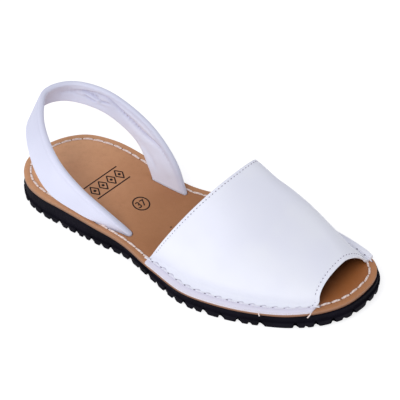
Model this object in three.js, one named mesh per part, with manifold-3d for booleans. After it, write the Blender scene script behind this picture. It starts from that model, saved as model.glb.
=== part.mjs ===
// Avarca sandal, right foot, size 37: rubber outsole, leather insole, open-toe vamp and heel strap.
// Millimetres. Toe towards +X, medial side +Y, lateral side -Y, +Z up, standing on z = 0.
import * as THREE from "three";
import { mergeVertices } from "three/addons/utils/BufferGeometryUtils.js";
import Module from "manifold-3d";

const wasm = await Module();
wasm.setup();

// last and sole
const INSOLE_LENGTH = 250;
const BALL_WIDTH = 95.8;
const HEEL_WIDTH = 72.7;
const HEEL_RUBBER = 14.4;
const FOREFOOT_RUBBER = 8.9;
const ARCH_LIFT = 1.8;
const TOE_SPRING = 4.5;
const TOE_LEDGE = 1.2;
const TOE_LEDGE_START = 0.8;
const INSOLE_THICKNESS = 2.8;
const FIT_GAP = 0.3;

// lugs along the lower edge of the rubber
const LUG_PITCH = 14.2;
const LUG_BAND_HEIGHT = 4.6;
const LUG_BAND_STEP = 1.1;
const LUG_NOTCH_WIDTH = 5.6;
const LUG_NOTCH_HEIGHT = 3.2;
const LUG_NOTCH_REACH = 9;
const SMALL_NOTCH_WIDTH = 3.0;
const SMALL_NOTCH_HEIGHT = 1.7;
const SMALL_NOTCH_REACH = 4;
const NOTCH_STEEP_SIDE = 0.65;
const NOTCH_SLOPED_SIDE = 0.2;

// vamp
const VAMP_THICKNESS = 2.0;
const THROAT_HEIGHT = 54;
const FLANGE_WIDTH = 8.2;
const FLANGE_INSET = 0.1;
const FLANGE_BEND = 2.4;

// heel strap
const STRAP_HEIGHT = 52.5;
const STRAP_THICKNESS = 2.8;
const STRAP_ROLL_THICKNESS = 4.6;
const STRAP_FOOT_THICKNESS = 4.2;
const STRAP_CAMBER = 0.9;

// how finely the curves are cut into facets
const OUTLINE_FACETS = 100;
const PROFILE_FACETS = 40;
const VAMP_SECTIONS = 26;
const VAMP_ARCH_FACETS = 32;
const VAMP_BEND_FACETS = 3;
const STRAP_SECTIONS = 60;
const STRAP_END_FACETS = 4;
const STRAP_FACE_FACETS = 4;

// half widths of the insole: along is a share of its length, the sides are shares of the heel width
const HEEL_OUTLINE = [
  { along: 0.015, medial: 0.237, lateral: 0.147 },
  { along: 0.050, medial: 0.418, lateral: 0.287 },
  { along: 0.100, medial: 0.535, lateral: 0.373 },
  { along: 0.180, medial: 0.567, lateral: 0.433 },
  { along: 0.280, medial: 0.523, lateral: 0.488 },
  { along: 0.380, medial: 0.437, lateral: 0.535 },
];

// the same for the forefoot, with the sides as shares of the ball width
const BALL_OUTLINE = [
  { along: 0.480, medial: 0.309, lateral: 0.513 },
  { along: 0.580, medial: 0.362, lateral: 0.605 },
  { along: 0.670, medial: 0.390, lateral: 0.610 },
  { along: 0.760, medial: 0.376, lateral: 0.571 },
  { along: 0.850, medial: 0.310, lateral: 0.491 },
  { along: 0.920, medial: 0.246, lateral: 0.382 },
  { along: 0.965, medial: 0.182, lateral: 0.265 },
  { along: 0.990, medial: 0.106, lateral: 0.130 },
];
const HEEL_BACK_SIDE = 0.019;
const TOE_TIP_SIDE = 0.01;

// side view of the rubber: shares of heel and forefoot rubber, arch lift and toe spring
const SOLE_PROFILE = [
  { along: 0.00, heel: 0.917, fore: 0, arch: 0.3, spring: 0 },
  { along: 0.05, heel: 0.945, fore: 0, arch: 0, spring: 0 },
  { along: 0.18, heel: 1, fore: 0, arch: 0, spring: 0 },
  { along: 0.30, heel: 0.75, fore: 0.15, arch: 0, spring: 0 },
  { along: 0.45, heel: 0, fore: 0.876, arch: 1, spring: 0 },
  { along: 0.58, heel: 0, fore: 0.96, arch: 0, spring: 0 },
  { along: 0.68, heel: 0, fore: 1, arch: 0, spring: 0 },
  { along: 0.82, heel: 0, fore: 0.98, arch: 0, spring: 0 },
  { along: 0.90, heel: 0, fore: 1, arch: 0, spring: 0.2 },
  { along: 1.00, heel: 0, fore: 0.99, arch: 0, spring: 0.86 },
];

// vamp sections from throat to toe opening. Along the insole: lateral and medial flange edge and crown;
// side: crown's share of the ball width; rise: share of the throat height;
// latFlange, medFlange: shares of the flange width;
// latFull and medFull: fullness of each side of the arch, two is an ellipse
const VAMP_TABLE = [
  { at: 0.00, lateral: 0.456, medial: 0.562, crown: 0.622, side: 0.06, rise: 1.00,
    latFlange: 0.62, medFlange: 0.62, latFull: 2.3, medFull: 3.3 },
  { at: 0.25, lateral: 0.568, medial: 0.665, crown: 0.705, side: 0.06, rise: 0.80,
    latFlange: 1.00, medFlange: 1.00, latFull: 2.2, medFull: 2.5 },
  { at: 0.50, lateral: 0.682, medial: 0.770, crown: 0.778, side: 0.05, rise: 0.605,
    latFlange: 1.00, medFlange: 1.00, latFull: 2.1, medFull: 2.5 },
  { at: 0.75, lateral: 0.795, medial: 0.870, crown: 0.852, side: 0.01, rise: 0.475,
    latFlange: 1.00, medFlange: 1.00, latFull: 2.1, medFull: 2.15 },
  { at: 1.00, lateral: 0.898, medial: 0.970, crown: 0.926, side: -0.07, rise: 0.29,
    latFlange: 0.95, medFlange: 0.80, latFull: 2.1, medFull: 1.50 },
];

// heel strap from the lateral slit round the back to the medial slit: lower and upper edge.
// X is a share of the insole length, Y of the heel width, rise of the strap height over the insole
const STRAP_TABLE = [
  { lowX: 0.274, lowY: -0.402, lowRise: 0.00, topX: 0.377, topY: -0.380, topRise: 0.00 },
  { lowX: 0.222, lowY: -0.458, lowRise: 0.10, topX: 0.322, topY: -0.405, topRise: 0.19 },
  { lowX: 0.162, lowY: -0.465, lowRise: 0.20, topX: 0.248, topY: -0.425, topRise: 0.44 },
  { lowX: 0.108, lowY: -0.385, lowRise: 0.35, topX: 0.172, topY: -0.365, topRise: 0.69 },
  { lowX: 0.056, lowY: -0.230, lowRise: 0.60, topX: 0.098, topY: -0.140, topRise: 0.84 },
  { lowX: 0.028, lowY: -0.050, lowRise: 0.68, topX: 0.062, topY: 0.045, topRise: 0.93 },
  { lowX: 0.028, lowY: 0.200, lowRise: 0.71, topX: 0.043, topY: 0.230, topRise: 0.98 },
  { lowX: 0.064, lowY: 0.385, lowRise: 0.665, topX: 0.082, topY: 0.440, topRise: 0.95 },
  { lowX: 0.156, lowY: 0.475, lowRise: 0.56, topX: 0.168, topY: 0.509, topRise: 0.89 },
  { lowX: 0.232, lowY: 0.461, lowRise: 0.425, topX: 0.268, topY: 0.488, topRise: 0.745 },
  { lowX: 0.279, lowY: 0.425, lowRise: 0.29, topX: 0.341, topY: 0.445, topRise: 0.56 },
  { lowX: 0.312, lowY: 0.356, lowRise: 0.14, topX: 0.404, topY: 0.371, topRise: 0.30 },
  { lowX: 0.335, lowY: 0.302, lowRise: 0.00, topX: 0.440, topY: 0.285, topRise: 0.00 },
];

// smooth value of one column of a table, without overshoot between its rows
function tableValue(table, key, column, value) {
  let row = 0;
  while (row < table.length - 2 && value > table[row + 1][key]) row += 1;
  const rise = (index) => {
    const run = table[index + 1][key] - table[index][key];
    return (table[index + 1][column] - table[index][column]) / run;
  };
  const slope = (index) => {
    if (index === 0) return rise(0);
    if (index === table.length - 1) return rise(index - 1);
    const before = rise(index - 1);
    const after = rise(index);
    return before * after <= 0 ? 0 : (2 * before * after) / (before + after);
  };
  const span = table[row + 1][key] - table[row][key];
  const t = THREE.MathUtils.clamp((value - table[row][key]) / span, 0, 1);
  const startPull = t * (1 - t) * (1 - t) * span * slope(row);
  const endPull = t * t * (1 - t) * span * slope(row + 1);
  const share = t * t * (3 - 2 * t);
  return table[row][column] * (1 - share) + table[row + 1][column] * share + startPull - endPull;
}

const rubberTop = (x) => {
  const along = x / INSOLE_LENGTH;
  const heel = HEEL_RUBBER * tableValue(SOLE_PROFILE, "along", "heel", along);
  const fore = FOREFOOT_RUBBER * tableValue(SOLE_PROFILE, "along", "fore", along);
  return heel + fore + TOE_SPRING * tableValue(SOLE_PROFILE, "along", "spring", along);
};
const rubberBottom = (x) => {
  const along = x / INSOLE_LENGTH;
  const arch = ARCH_LIFT * tableValue(SOLE_PROFILE, "along", "arch", along);
  return arch + TOE_SPRING * tableValue(SOLE_PROFILE, "along", "spring", along);
};
const insoleBottom = (x) => rubberTop(x) + FIT_GAP;
const insoleTop = (x) => insoleBottom(x) + INSOLE_THICKNESS;

// outline of the insole as a closed loop, medial side first
function outlineControls() {
  const rows = [];
  for (const row of HEEL_OUTLINE) rows.push({ row, width: HEEL_WIDTH });
  for (const row of BALL_OUTLINE) rows.push({ row, width: BALL_WIDTH });
  const points = [new THREE.Vector3(0, HEEL_BACK_SIDE * HEEL_WIDTH, 0)];
  for (const { row, width } of rows) {
    points.push(new THREE.Vector3(row.along * INSOLE_LENGTH, row.medial * width, 0));
  }
  points.push(new THREE.Vector3(INSOLE_LENGTH, TOE_TIP_SIDE * BALL_WIDTH, 0));
  for (const { row, width } of rows.reverse()) {
    points.push(new THREE.Vector3(row.along * INSOLE_LENGTH, -row.lateral * width, 0));
  }
  return points;
}
const outlineCurve = new THREE.CatmullRomCurve3(outlineControls(), true, "centripetal");
outlineCurve.arcLengthDivisions = OUTLINE_FACETS * OUTLINE_FACETS;
const outlineLoop = outlineCurve.getSpacedPoints(OUTLINE_FACETS).slice(0, OUTLINE_FACETS);

// outward direction of the outline at a share of its length
function outlineOut(share) {
  const tangent = outlineCurve.getTangentAt(share);
  return new THREE.Vector3(-tangent.y, tangent.x, 0);
}
function grownLoop(growthAt) {
  return outlineLoop.map((point, index) =>
    point.clone().addScaledVector(outlineOut(index / OUTLINE_FACETS), growthAt(point.x)));
}

// how far the rubber stands out past the insole: nothing at the waist, most at the toe tip
const toeLedge = (x) =>
  TOE_LEDGE * THREE.MathUtils.smoothstep(x / INSOLE_LENGTH, TOE_LEDGE_START, 1);

// y of the outline on the side of sign at a given x, moved inwards by inset
function outlineSide(x, sign, inset) {
  const loop = grownLoop(() => -inset);
  let best = 0;
  for (let index = 0; index < loop.length; index += 1) {
    const from = loop[index];
    const to = loop[(index + 1) % loop.length];
    if ((from.x - x) * (to.x - x) > 0 || from.x === to.x) continue;
    const y = from.y + ((to.y - from.y) * (x - from.x)) / (to.x - from.x);
    if (y * sign > best * sign) best = y;
  }
  return best;
}

function toSolid(geometry) {
  const bare = geometry.index ? geometry.clone() : geometry;
  bare.deleteAttribute("normal");
  bare.deleteAttribute("uv");
  const merged = mergeVertices(bare, 1e-4);
  return new wasm.Manifold(new wasm.Mesh({
    numProp: 3,
    vertProperties: new Float32Array(merged.attributes.position.array),
    triVerts: new Uint32Array(merged.index.array),
  }));
}
function fromSolid(solid) {
  const mesh = solid.getMesh();
  const geometry = new THREE.BufferGeometry();
  geometry.setAttribute("position", new THREE.BufferAttribute(new Float32Array(mesh.vertProperties), 3));
  geometry.setIndex(new THREE.BufferAttribute(new Uint32Array(mesh.triVerts), 1));
  return geometry;
}

const extruded = (shape, depth) =>
  new THREE.ExtrudeGeometry(shape, { depth, bevelEnabled: false, curveSegments: 1 });

// upright prism over a closed loop seen from above
function prism(loop, low, high) {
  const shape = new THREE.Shape(loop.map((point) => new THREE.Vector2(point.x, point.y)));
  const geometry = extruded(shape, high - low);
  return toSolid(geometry.translate(0, 0, low));
}

// slab right across the shoe between two height curves
function slab(lower, upper) {
  const reach = LUG_PITCH;
  const xs = [];
  for (let index = 0; index <= PROFILE_FACETS; index += 1) {
    xs.push(-reach + ((INSOLE_LENGTH + 2 * reach) * index) / PROFILE_FACETS);
  }
  const under = xs.map((x) => new THREE.Vector2(x, lower(x)));
  const over = xs.map((x) => new THREE.Vector2(x, upper(x))).reverse();
  const width = 2 * BALL_WIDTH;
  const shape = new THREE.Shape([...under, ...over]);
  const geometry = extruded(shape, width);
  return toSolid(geometry.rotateX(Math.PI / 2).translate(0, width / 2, 0));
}

const TALL = HEEL_RUBBER + TOE_SPRING + INSOLE_THICKNESS + LUG_PITCH;

// wedge-shaped notch cut up into the lower edge, pointing in from the outline
function notch(share, width, height, reach) {
  const edge = outlineCurve.getPointAt(share);
  const out = outlineOut(share);
  const base = rubberBottom(edge.x);
  const half = width / 2;
  const clear = 2 * LUG_BAND_STEP + toeLedge(edge.x);
  const shape = new THREE.Shape([
    new THREE.Vector2(-half, -height),
    new THREE.Vector2(half, -height),
    new THREE.Vector2(half, 0),
    new THREE.Vector2(half * NOTCH_STEEP_SIDE, height),
    new THREE.Vector2(half * NOTCH_SLOPED_SIDE, height),
    new THREE.Vector2(-half, 0),
  ]);
  const geometry = extruded(shape, reach + clear);
  const inward = out.clone().negate();
  const up = new THREE.Vector3(0, 0, 1);
  const sideways = new THREE.Vector3().crossVectors(up, inward);
  const start = edge.clone().addScaledVector(out, clear).setZ(base);
  const frame = new THREE.Matrix4().makeBasis(sideways, up, inward).setPosition(start);
  return toSolid(geometry.applyMatrix4(frame));
}

function outsoleGeometry() {
  const lugTop = (x) => rubberBottom(x) + LUG_BAND_HEIGHT;
  const lugReach = (x) => LUG_BAND_STEP + toeLedge(x);
  const lugs = prism(grownLoop(lugReach), -TALL, TALL).intersect(slab(rubberBottom, lugTop));
  const walls = prism(grownLoop(toeLedge), -TALL, TALL).intersect(slab(rubberBottom, rubberTop));
  let solid = walls.add(lugs);
  const count = Math.round(outlineCurve.getLength() / LUG_PITCH);
  for (let index = 0; index < count; index += 1) {
    solid = solid.subtract(notch(index / count, LUG_NOTCH_WIDTH, LUG_NOTCH_HEIGHT, LUG_NOTCH_REACH));
    const between = (index + 1 / 2) / count;
    solid = solid.subtract(notch(between, SMALL_NOTCH_WIDTH, SMALL_NOTCH_HEIGHT, SMALL_NOTCH_REACH));
  }
  return fromSolid(solid);
}

// one closed ring of points per section, joined side by side and capped at both ends
function skin(rings) {
  const positions = [];
  const indices = [];
  const size = rings[0].length;
  for (const ring of rings) for (const point of ring) positions.push(point.x, point.y, point.z);
  for (let row = 0; row < rings.length - 1; row += 1) {
    for (let column = 0; column < size; column += 1) {
      const next = (column + 1) % size;
      const a = row * size + column;
      const b = row * size + next;
      indices.push(a, b, b + size, a, b + size, a + size);
    }
  }
  return { positions, indices, size };
}
function finish({ positions, indices }) {
  const geometry = new THREE.BufferGeometry();
  geometry.setAttribute("position", new THREE.Float32BufferAttribute(positions, 3));
  geometry.setIndex(indices);
  return geometry;
}

// turns a closed mesh the right way out
function facingOut(geometry) {
  const position = geometry.attributes.position;
  const index = geometry.index.array;
  let volume = 0;
  const corner = [0, 1, 2].map(() => new THREE.Vector3());
  for (let start = 0; start < index.length; start += 3) {
    corner.forEach((point, offset) => point.fromBufferAttribute(position, index[start + offset]));
    volume += corner[0].dot(corner[1].clone().cross(corner[2]));
  }
  if (volume < 0) {
    for (let start = 0; start < index.length; start += 3) {
      [index[start], index[start + 1]] = [index[start + 1], index[start]];
    }
  }
  return geometry;
}

// strap edges, with a straight upright stretch through the slit at each end
function strapEdge(side) {
  const rows = STRAP_TABLE.map((row) => {
    const x = row[side + "X"] * INSOLE_LENGTH;
    const z = insoleTop(x) + FIT_GAP + row[side + "Rise"] * STRAP_HEIGHT;
    return new THREE.Vector3(x, row[side + "Y"] * HEEL_WIDTH, z);
  });
  return new THREE.CatmullRomCurve3(rows, false, "centripetal");
}
const lowEdge = strapEdge("low");
const topEdge = strapEdge("top");

function strapFrame(share) {
  const low = lowEdge.getPoint(share);
  const top = topEdge.getPoint(share);
  const along = lowEdge.getTangent(share).add(topEdge.getTangent(share)).normalize();
  const across = new THREE.Vector3().subVectors(top, low);
  const out = new THREE.Vector3().crossVectors(across, along).normalize();
  return { low, top, across, out };
}

// flat section with a slight camber: thin at the lower edge, a thicker roll at the upper edge
function strapRing(frame, thin, roll, camber) {
  const ring = [];
  const { low, across, out } = frame;
  const width = across.length();
  const unit = across.clone().normalize();
  const halfAt = (share) => (thin + (roll - thin) * share * share) / 2;
  const pointAt = (share, away) =>
    low.clone().addScaledVector(unit, width * share)
      .addScaledVector(out, 4 * camber * share * (1 - share) + away * halfAt(share));
  const first = thin / 2 / width;
  const last = 1 - roll / 2 / width;
  const shareAt = (step) => THREE.MathUtils.lerp(first, last, step / STRAP_FACE_FACETS);
  const edge = (share, way, step) => {
    const turn = (Math.PI * step) / STRAP_END_FACETS;
    const half = halfAt(share);
    return pointAt(share, way * Math.cos(turn)).addScaledVector(unit, way * half * Math.sin(turn));
  };
  for (let step = 0; step <= STRAP_FACE_FACETS; step += 1) ring.push(pointAt(shareAt(step), 1));
  for (let step = 1; step < STRAP_END_FACETS; step += 1) ring.push(edge(last, 1, step));
  for (let step = STRAP_FACE_FACETS; step >= 0; step -= 1) ring.push(pointAt(shareAt(step), -1));
  for (let step = 1; step < STRAP_END_FACETS; step += 1) ring.push(edge(first, -1, step));
  return ring;
}

// section of the strap where it goes upright through its slit
function slitFrame(share, level) {
  const frame = strapFrame(share);
  const flat = frame.across.clone().setZ(0);
  const low = frame.low.clone();
  const top = frame.top.clone();
  low.z = level(low.x);
  top.z = level(top.x);
  const side = Math.sign(low.y);
  const out = new THREE.Vector3(-flat.y, flat.x, 0).normalize();
  if (out.y * side < 0) out.negate();
  return { low, top, across: new THREE.Vector3().subVectors(top, low), out };
}
function capped(shell, rings) {
  const last = (rings.length - 1) * shell.size;
  const faces = THREE.ShapeUtils.triangulateShape(sectionShape(rings[0]), []);
  for (const [a, b, c] of faces) {
    shell.indices.push(c, b, a);
    shell.indices.push(last + a, last + b, last + c);
  }
  return shell;
}
// the section flattened on its own two directions, for cutting its cap into triangles
function sectionShape(ring) {
  const origin = ring[0];
  const first = new THREE.Vector3().subVectors(ring[STRAP_FACE_FACETS], origin).normalize();
  const other = new THREE.Vector3().subVectors(ring[ring.length - 1], origin);
  const second = other.addScaledVector(first, -other.dot(first)).normalize();
  return ring.map((point) => {
    const offset = new THREE.Vector3().subVectors(point, origin);
    return new THREE.Vector2(offset.dot(first), offset.dot(second));
  });
}
function strapGeometry() {
  const foot = (x) => rubberBottom(x);
  const thick = STRAP_FOOT_THICKNESS;
  const footRing = (share, level) => strapRing(slitFrame(share, level), thick, thick, 0);
  const rings = [footRing(0, foot), footRing(0, insoleTop)];
  for (let index = 1; index < STRAP_SECTIONS; index += 1) {
    const share = index / STRAP_SECTIONS;
    const away = Math.sin(Math.PI * share);
    const thin = THREE.MathUtils.lerp(STRAP_FOOT_THICKNESS, STRAP_THICKNESS, away);
    const roll = THREE.MathUtils.lerp(STRAP_FOOT_THICKNESS, STRAP_ROLL_THICKNESS, away);
    rings.push(strapRing(strapFrame(share), thin, roll, STRAP_CAMBER * away));
  }
  rings.push(footRing(1, insoleTop), footRing(1, foot));
  const strap = toSolid(facingOut(finish(capped(skin(rings), rings))));
  return fromSolid(strap.subtract(slab(() => -TALL, insoleBottom)));
}

// slit in the insole, wider than the strap by the fit gap all round
function slit(share) {
  const frame = slitFrame(share, insoleTop);
  const flat = frame.across.clone().setZ(0).normalize();
  const side = new THREE.Vector3(-flat.y, flat.x, 0);
  const half = STRAP_FOOT_THICKNESS / 2 + FIT_GAP;
  const loop = [];
  const steps = 2 * STRAP_END_FACETS;
  for (const end of [frame.top, frame.low]) {
    const way = end === frame.top ? 1 : -1;
    const centre = end.clone().addScaledVector(flat, (-way * STRAP_FOOT_THICKNESS) / 2);
    for (let step = 0; step <= steps; step += 1) {
      const turn = (Math.PI * step) / steps - Math.PI / 2;
      loop.push(centre.clone().addScaledVector(flat, way * half * Math.cos(turn))
        .addScaledVector(side, way * half * Math.sin(turn)));
    }
  }
  return prism(loop, -TALL, TALL);
}
function insoleGeometry() {
  let solid = prism(outlineLoop, -TALL, TALL).intersect(slab(insoleBottom, insoleTop));
  solid = solid.subtract(slit(0)).subtract(slit(1));
  return fromSolid(solid);
}

// outer face of the vamp along one section, from the lateral to the medial flange edge
function vampRow(at) {
  const read = (column) => tableValue(VAMP_TABLE, "at", column, at);
  const flangeTop = (x) => insoleTop(x) + FIT_GAP + VAMP_THICKNESS;
  const edges = [];
  for (const [column, sign] of [["lateral", -1], ["medial", 1]]) {
    const x = read(column) * INSOLE_LENGTH;
    const outer = new THREE.Vector3(x, outlineSide(x, sign, FLANGE_INSET), 0);
    edges.push({ outer, sign });
  }
  const line = new THREE.Vector3().subVectors(edges[1].outer, edges[0].outer);
  const unit = line.clone().normalize();
  const base = edges.map(({ outer, sign }) => {
    const flange = FLANGE_WIDTH * read(sign < 0 ? "latFlange" : "medFlange");
    return outer.clone().addScaledVector(unit, -sign * flange);
  });
  const crownX = read("crown") * INSOLE_LENGTH;
  const crownY = read("side") * BALL_WIDTH;
  const crownRise = read("rise") * THROAT_HEIGHT - FIT_GAP - VAMP_THICKNESS;
  const spread = base[1].y - base[0].y;
  const baseX = (y) => base[0].x + ((base[1].x - base[0].x) * (y - base[0].y)) / spread;
  const lean = crownX - baseX(crownY);
  const arch = (turn) => {
    const lateralHalf = turn <= Math.PI / 2;
    const full = read(lateralHalf ? "latFull" : "medFull");
    const foot = lateralHalf ? base[0] : base[1];
    const reach = Math.pow(Math.abs(Math.cos(turn)), 2 / full);
    const rise = Math.pow(Math.sin(turn), 2 / full);
    const y = crownY + (foot.y - crownY) * reach;
    const x = baseX(y) + lean * rise;
    return new THREE.Vector3(x, y, flangeTop(x) + crownRise * rise);
  };
  const firstTurn = Math.pow(FLANGE_BEND / crownRise, read("latFull") / 2);
  const lastTurn = Math.pow(FLANGE_BEND / crownRise, read("medFull") / 2);
  const span = Math.PI - Math.asin(lastTurn) - Math.asin(firstTurn);
  const row = [];
  const bend = (side, wall) => {
    const inner = base[side].clone().addScaledVector(unit, (side === 0 ? -1 : 1) * FLANGE_BEND);
    inner.z = flangeTop(inner.x);
    const corner = base[side].clone();
    corner.z = flangeTop(corner.x);
    const curve = new THREE.QuadraticBezierCurve3(inner, corner, wall);
    return curve.getPoints(VAMP_BEND_FACETS).slice(0, VAMP_BEND_FACETS);
  };
  const walls = [];
  for (let step = 0; step <= VAMP_ARCH_FACETS; step += 1) {
    walls.push(arch(Math.asin(firstTurn) + (span * step) / VAMP_ARCH_FACETS));
  }
  edges.forEach(({ outer }) => { outer.z = flangeTop(outer.x); });
  row.push(edges[0].outer, ...bend(0, walls[0]), ...walls);
  row.push(...bend(1, walls[walls.length - 1]).reverse(), edges[1].outer);
  return row;
}

function vampGeometry() {
  const outer = [];
  for (let index = 0; index <= VAMP_SECTIONS; index += 1) outer.push(vampRow(index / VAMP_SECTIONS));
  const columns = outer[0].length;
  // outward direction at every point of the outer face, from its neighbours
  const normalAt = (row, column) => {
    const rowStep = outer[Math.min(row + 1, VAMP_SECTIONS)][column].clone()
      .sub(outer[Math.max(row - 1, 0)][column]);
    const before = outer[row][column].clone().sub(outer[row][Math.max(column - 1, 0)]).normalize();
    const after = outer[row][Math.min(column + 1, columns - 1)].clone().sub(outer[row][column]).normalize();
    return new THREE.Vector3().crossVectors(rowStep, before.add(after)).normalize();
  };
  const rings = outer.map((points, row) => {
    const inner = points.map((point, column) =>
      point.clone().addScaledVector(normalAt(row, column), -VAMP_THICKNESS));
    return [...points, ...inner.reverse()];
  });
  const shell = skin(rings);
  const last = VAMP_SECTIONS * shell.size;
  for (let column = 0; column < columns - 1; column += 1) {
    const a = column;
    const b = column + 1;
    const c = shell.size - 1 - b;
    const d = shell.size - 1 - a;
    shell.indices.push(c, b, a, d, c, a);
    shell.indices.push(last + a, last + b, last + c, last + a, last + c, last + d);
  }
  return finish(shell);
}

function piece(name, geometry, colour, roughness) {
  const material = new THREE.MeshStandardMaterial({ color: colour, roughness, metalness: 0 });
  const mesh = new THREE.Mesh(geometry, material);
  mesh.name = name;
  return mesh;
}

const sandal = new THREE.Group();
sandal.name = "avarca_sandal";
sandal.add(piece("outsole", outsoleGeometry(), 0x17151c, 0.8));
sandal.add(piece("insole", insoleGeometry(), 0xb9875f, 0.6));
sandal.add(piece("vamp", facingOut(vampGeometry()), 0xeeeef6, 0.42));
sandal.add(piece("heel_strap", strapGeometry(), 0xeeeef6, 0.42));

// origin under the middle of the shoe, on the floor
const bounds = new THREE.Box3().setFromObject(sandal);
const middle = bounds.getCenter(new THREE.Vector3());
for (const mesh of sandal.children) mesh.geometry.translate(-middle.x, -middle.y, -bounds.min.z);

export default sandal;
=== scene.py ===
import math

import bmesh
import bpy
import numpy as np
from mathutils import Matrix, Vector, geometry


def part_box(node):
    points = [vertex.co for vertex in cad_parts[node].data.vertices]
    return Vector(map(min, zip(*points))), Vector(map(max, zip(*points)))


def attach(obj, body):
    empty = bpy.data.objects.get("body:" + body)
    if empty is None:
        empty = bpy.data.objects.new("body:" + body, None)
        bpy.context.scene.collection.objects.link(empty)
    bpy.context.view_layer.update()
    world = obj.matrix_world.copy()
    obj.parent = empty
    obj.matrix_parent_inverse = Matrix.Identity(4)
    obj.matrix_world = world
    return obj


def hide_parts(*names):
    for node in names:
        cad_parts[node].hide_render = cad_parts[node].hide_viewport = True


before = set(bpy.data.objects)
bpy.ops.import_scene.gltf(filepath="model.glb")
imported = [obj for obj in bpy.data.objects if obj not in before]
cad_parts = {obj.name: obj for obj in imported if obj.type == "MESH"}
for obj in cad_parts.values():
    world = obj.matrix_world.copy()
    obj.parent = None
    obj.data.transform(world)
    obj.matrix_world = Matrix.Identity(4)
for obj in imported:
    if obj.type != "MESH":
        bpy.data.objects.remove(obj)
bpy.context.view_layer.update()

# Right shoe, size 37. Lengths are millimetres: toe towards +X, medial side +Y, standing on z = 0.
shoe = {
    "length": 250.0,
    "ballWidth": 95.8,
    "heelWidth": 72.7,
    "heelRubber": 14.4,
    "foreRubber": 8.9,
    "archLift": 1.8,
    "toeSpring": 4.5,
    "toeLedge": 1.2,
    "toeLedgeStart": 0.8,
    "insoleThickness": 2.8,
    "gap": 0.3,
    "outlineSteps": 6000,
}


def table(names, *rows):
    return {name: np.array([row[index] for row in rows], float) for index, name in enumerate(names.split())}


heelOutline = table(
    "along medial lateral",
    (0.015, 0.237, 0.147),
    (0.050, 0.418, 0.287),
    (0.100, 0.535, 0.373),
    (0.180, 0.567, 0.433),
    (0.280, 0.523, 0.488),
    (0.380, 0.437, 0.535),
)
ballOutline = table(
    "along medial lateral",
    (0.480, 0.309, 0.513),
    (0.580, 0.362, 0.605),
    (0.670, 0.390, 0.610),
    (0.760, 0.376, 0.571),
    (0.850, 0.310, 0.491),
    (0.920, 0.246, 0.382),
    (0.965, 0.182, 0.265),
    (0.990, 0.106, 0.130),
)
outlineEnds = {"heelBack": 0.019, "toeTip": 0.01}

soleProfile = table(
    "along heel fore arch spring",
    (0.00, 0.917, 0, 0.3, 0),
    (0.05, 0.945, 0, 0, 0),
    (0.18, 1, 0, 0, 0),
    (0.30, 0.75, 0.15, 0, 0),
    (0.45, 0, 0.876, 1, 0),
    (0.58, 0, 0.96, 0, 0),
    (0.68, 0, 1, 0, 0),
    (0.82, 0, 0.98, 0, 0),
    (0.90, 0, 1, 0, 0.2),
    (1.00, 0, 0.99, 0, 0.86),
)


def smoothstep(low, high, value):
    t = np.clip((np.asarray(value, float) - low) / (high - low), 0, 1)
    return t * t * (3 - 2 * t)


def lerp(first, second, share):
    return first + (second - first) * share


# smooth value of one column of a table, without overshoot between its rows
def tableValue(rows, key, name, value):
    xs, ys = rows[key], rows[name]
    rise = np.diff(ys) / np.diff(xs)
    before, after = rise[:-1], rise[1:]
    same = before * after > 0
    slope = np.concatenate([rise[:1], np.where(same, 2 * before * after, 0), rise[-1:]])
    slope[1:-1] /= np.where(same, before + after, 1)
    value = np.clip(np.asarray(value, float), xs[0], xs[-1])
    row = np.clip(np.searchsorted(xs, value, side="right") - 1, 0, len(xs) - 2)
    span = xs[row + 1] - xs[row]
    t = (value - xs[row]) / span
    share = t * t * (3 - 2 * t)
    pullCreaseShade = t * (1 - t) ** 2 * span * slope[row] - t * t * (1 - t) * span * slope[row + 1]
    return ys[row] * (1 - share) + ys[row + 1] * share + pullCreaseShade


# centripetal curve through points, read at shares of its spans
def smoothCurve(points, closed):
    points = np.asarray(points, float)
    if closed:
        padded = np.vstack([points[-1], points, points[0], points[1]])
        spans = len(points)
    else:
        padded = np.vstack([2 * points[0] - points[1], points, 2 * points[-1] - points[-2]])
        spans = len(points) - 1

    def step(a, b):
        return ((a - b) ** 2).sum(-1, keepdims=True) ** 0.25

    def at(share):
        place = np.clip(np.asarray(share, float), 0, 1) * spans
        index = np.minimum(place.astype(int), spans - 1)
        t = (place - index)[..., None]
        p0, p1, p2, p3 = (padded[index + offset] for offset in range(4))
        d0, d1, d2 = step(p0, p1), step(p1, p2), step(p2, p3)
        out = ((p1 - p0) / d0 - (p2 - p0) / (d0 + d1) + (p2 - p1) / d1) * d1
        back = ((p2 - p1) / d1 - (p3 - p1) / (d1 + d2) + (p3 - p2) / d2) * d1
        square = 3 * (p2 - p1) - 2 * out - back
        cube = 2 * (p1 - p2) + out + back
        return p1 + out * t + square * t ** 2 + cube * t ** 3

    return at


def rubberTop(x):
    along = np.asarray(x, float) / shoe["length"]
    heel = shoe["heelRubber"] * tableValue(soleProfile, "along", "heel", along)
    fore = shoe["foreRubber"] * tableValue(soleProfile, "along", "fore", along)
    return heel + fore + shoe["toeSpring"] * tableValue(soleProfile, "along", "spring", along)


def rubberBottom(x):
    along = np.asarray(x, float) / shoe["length"]
    arch = shoe["archLift"] * tableValue(soleProfile, "along", "arch", along)
    return arch + shoe["toeSpring"] * tableValue(soleProfile, "along", "spring", along)


def insoleBottom(x):
    return rubberTop(x) + shoe["gap"]


def insoleTop(x):
    return insoleBottom(x) + shoe["insoleThickness"]


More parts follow.
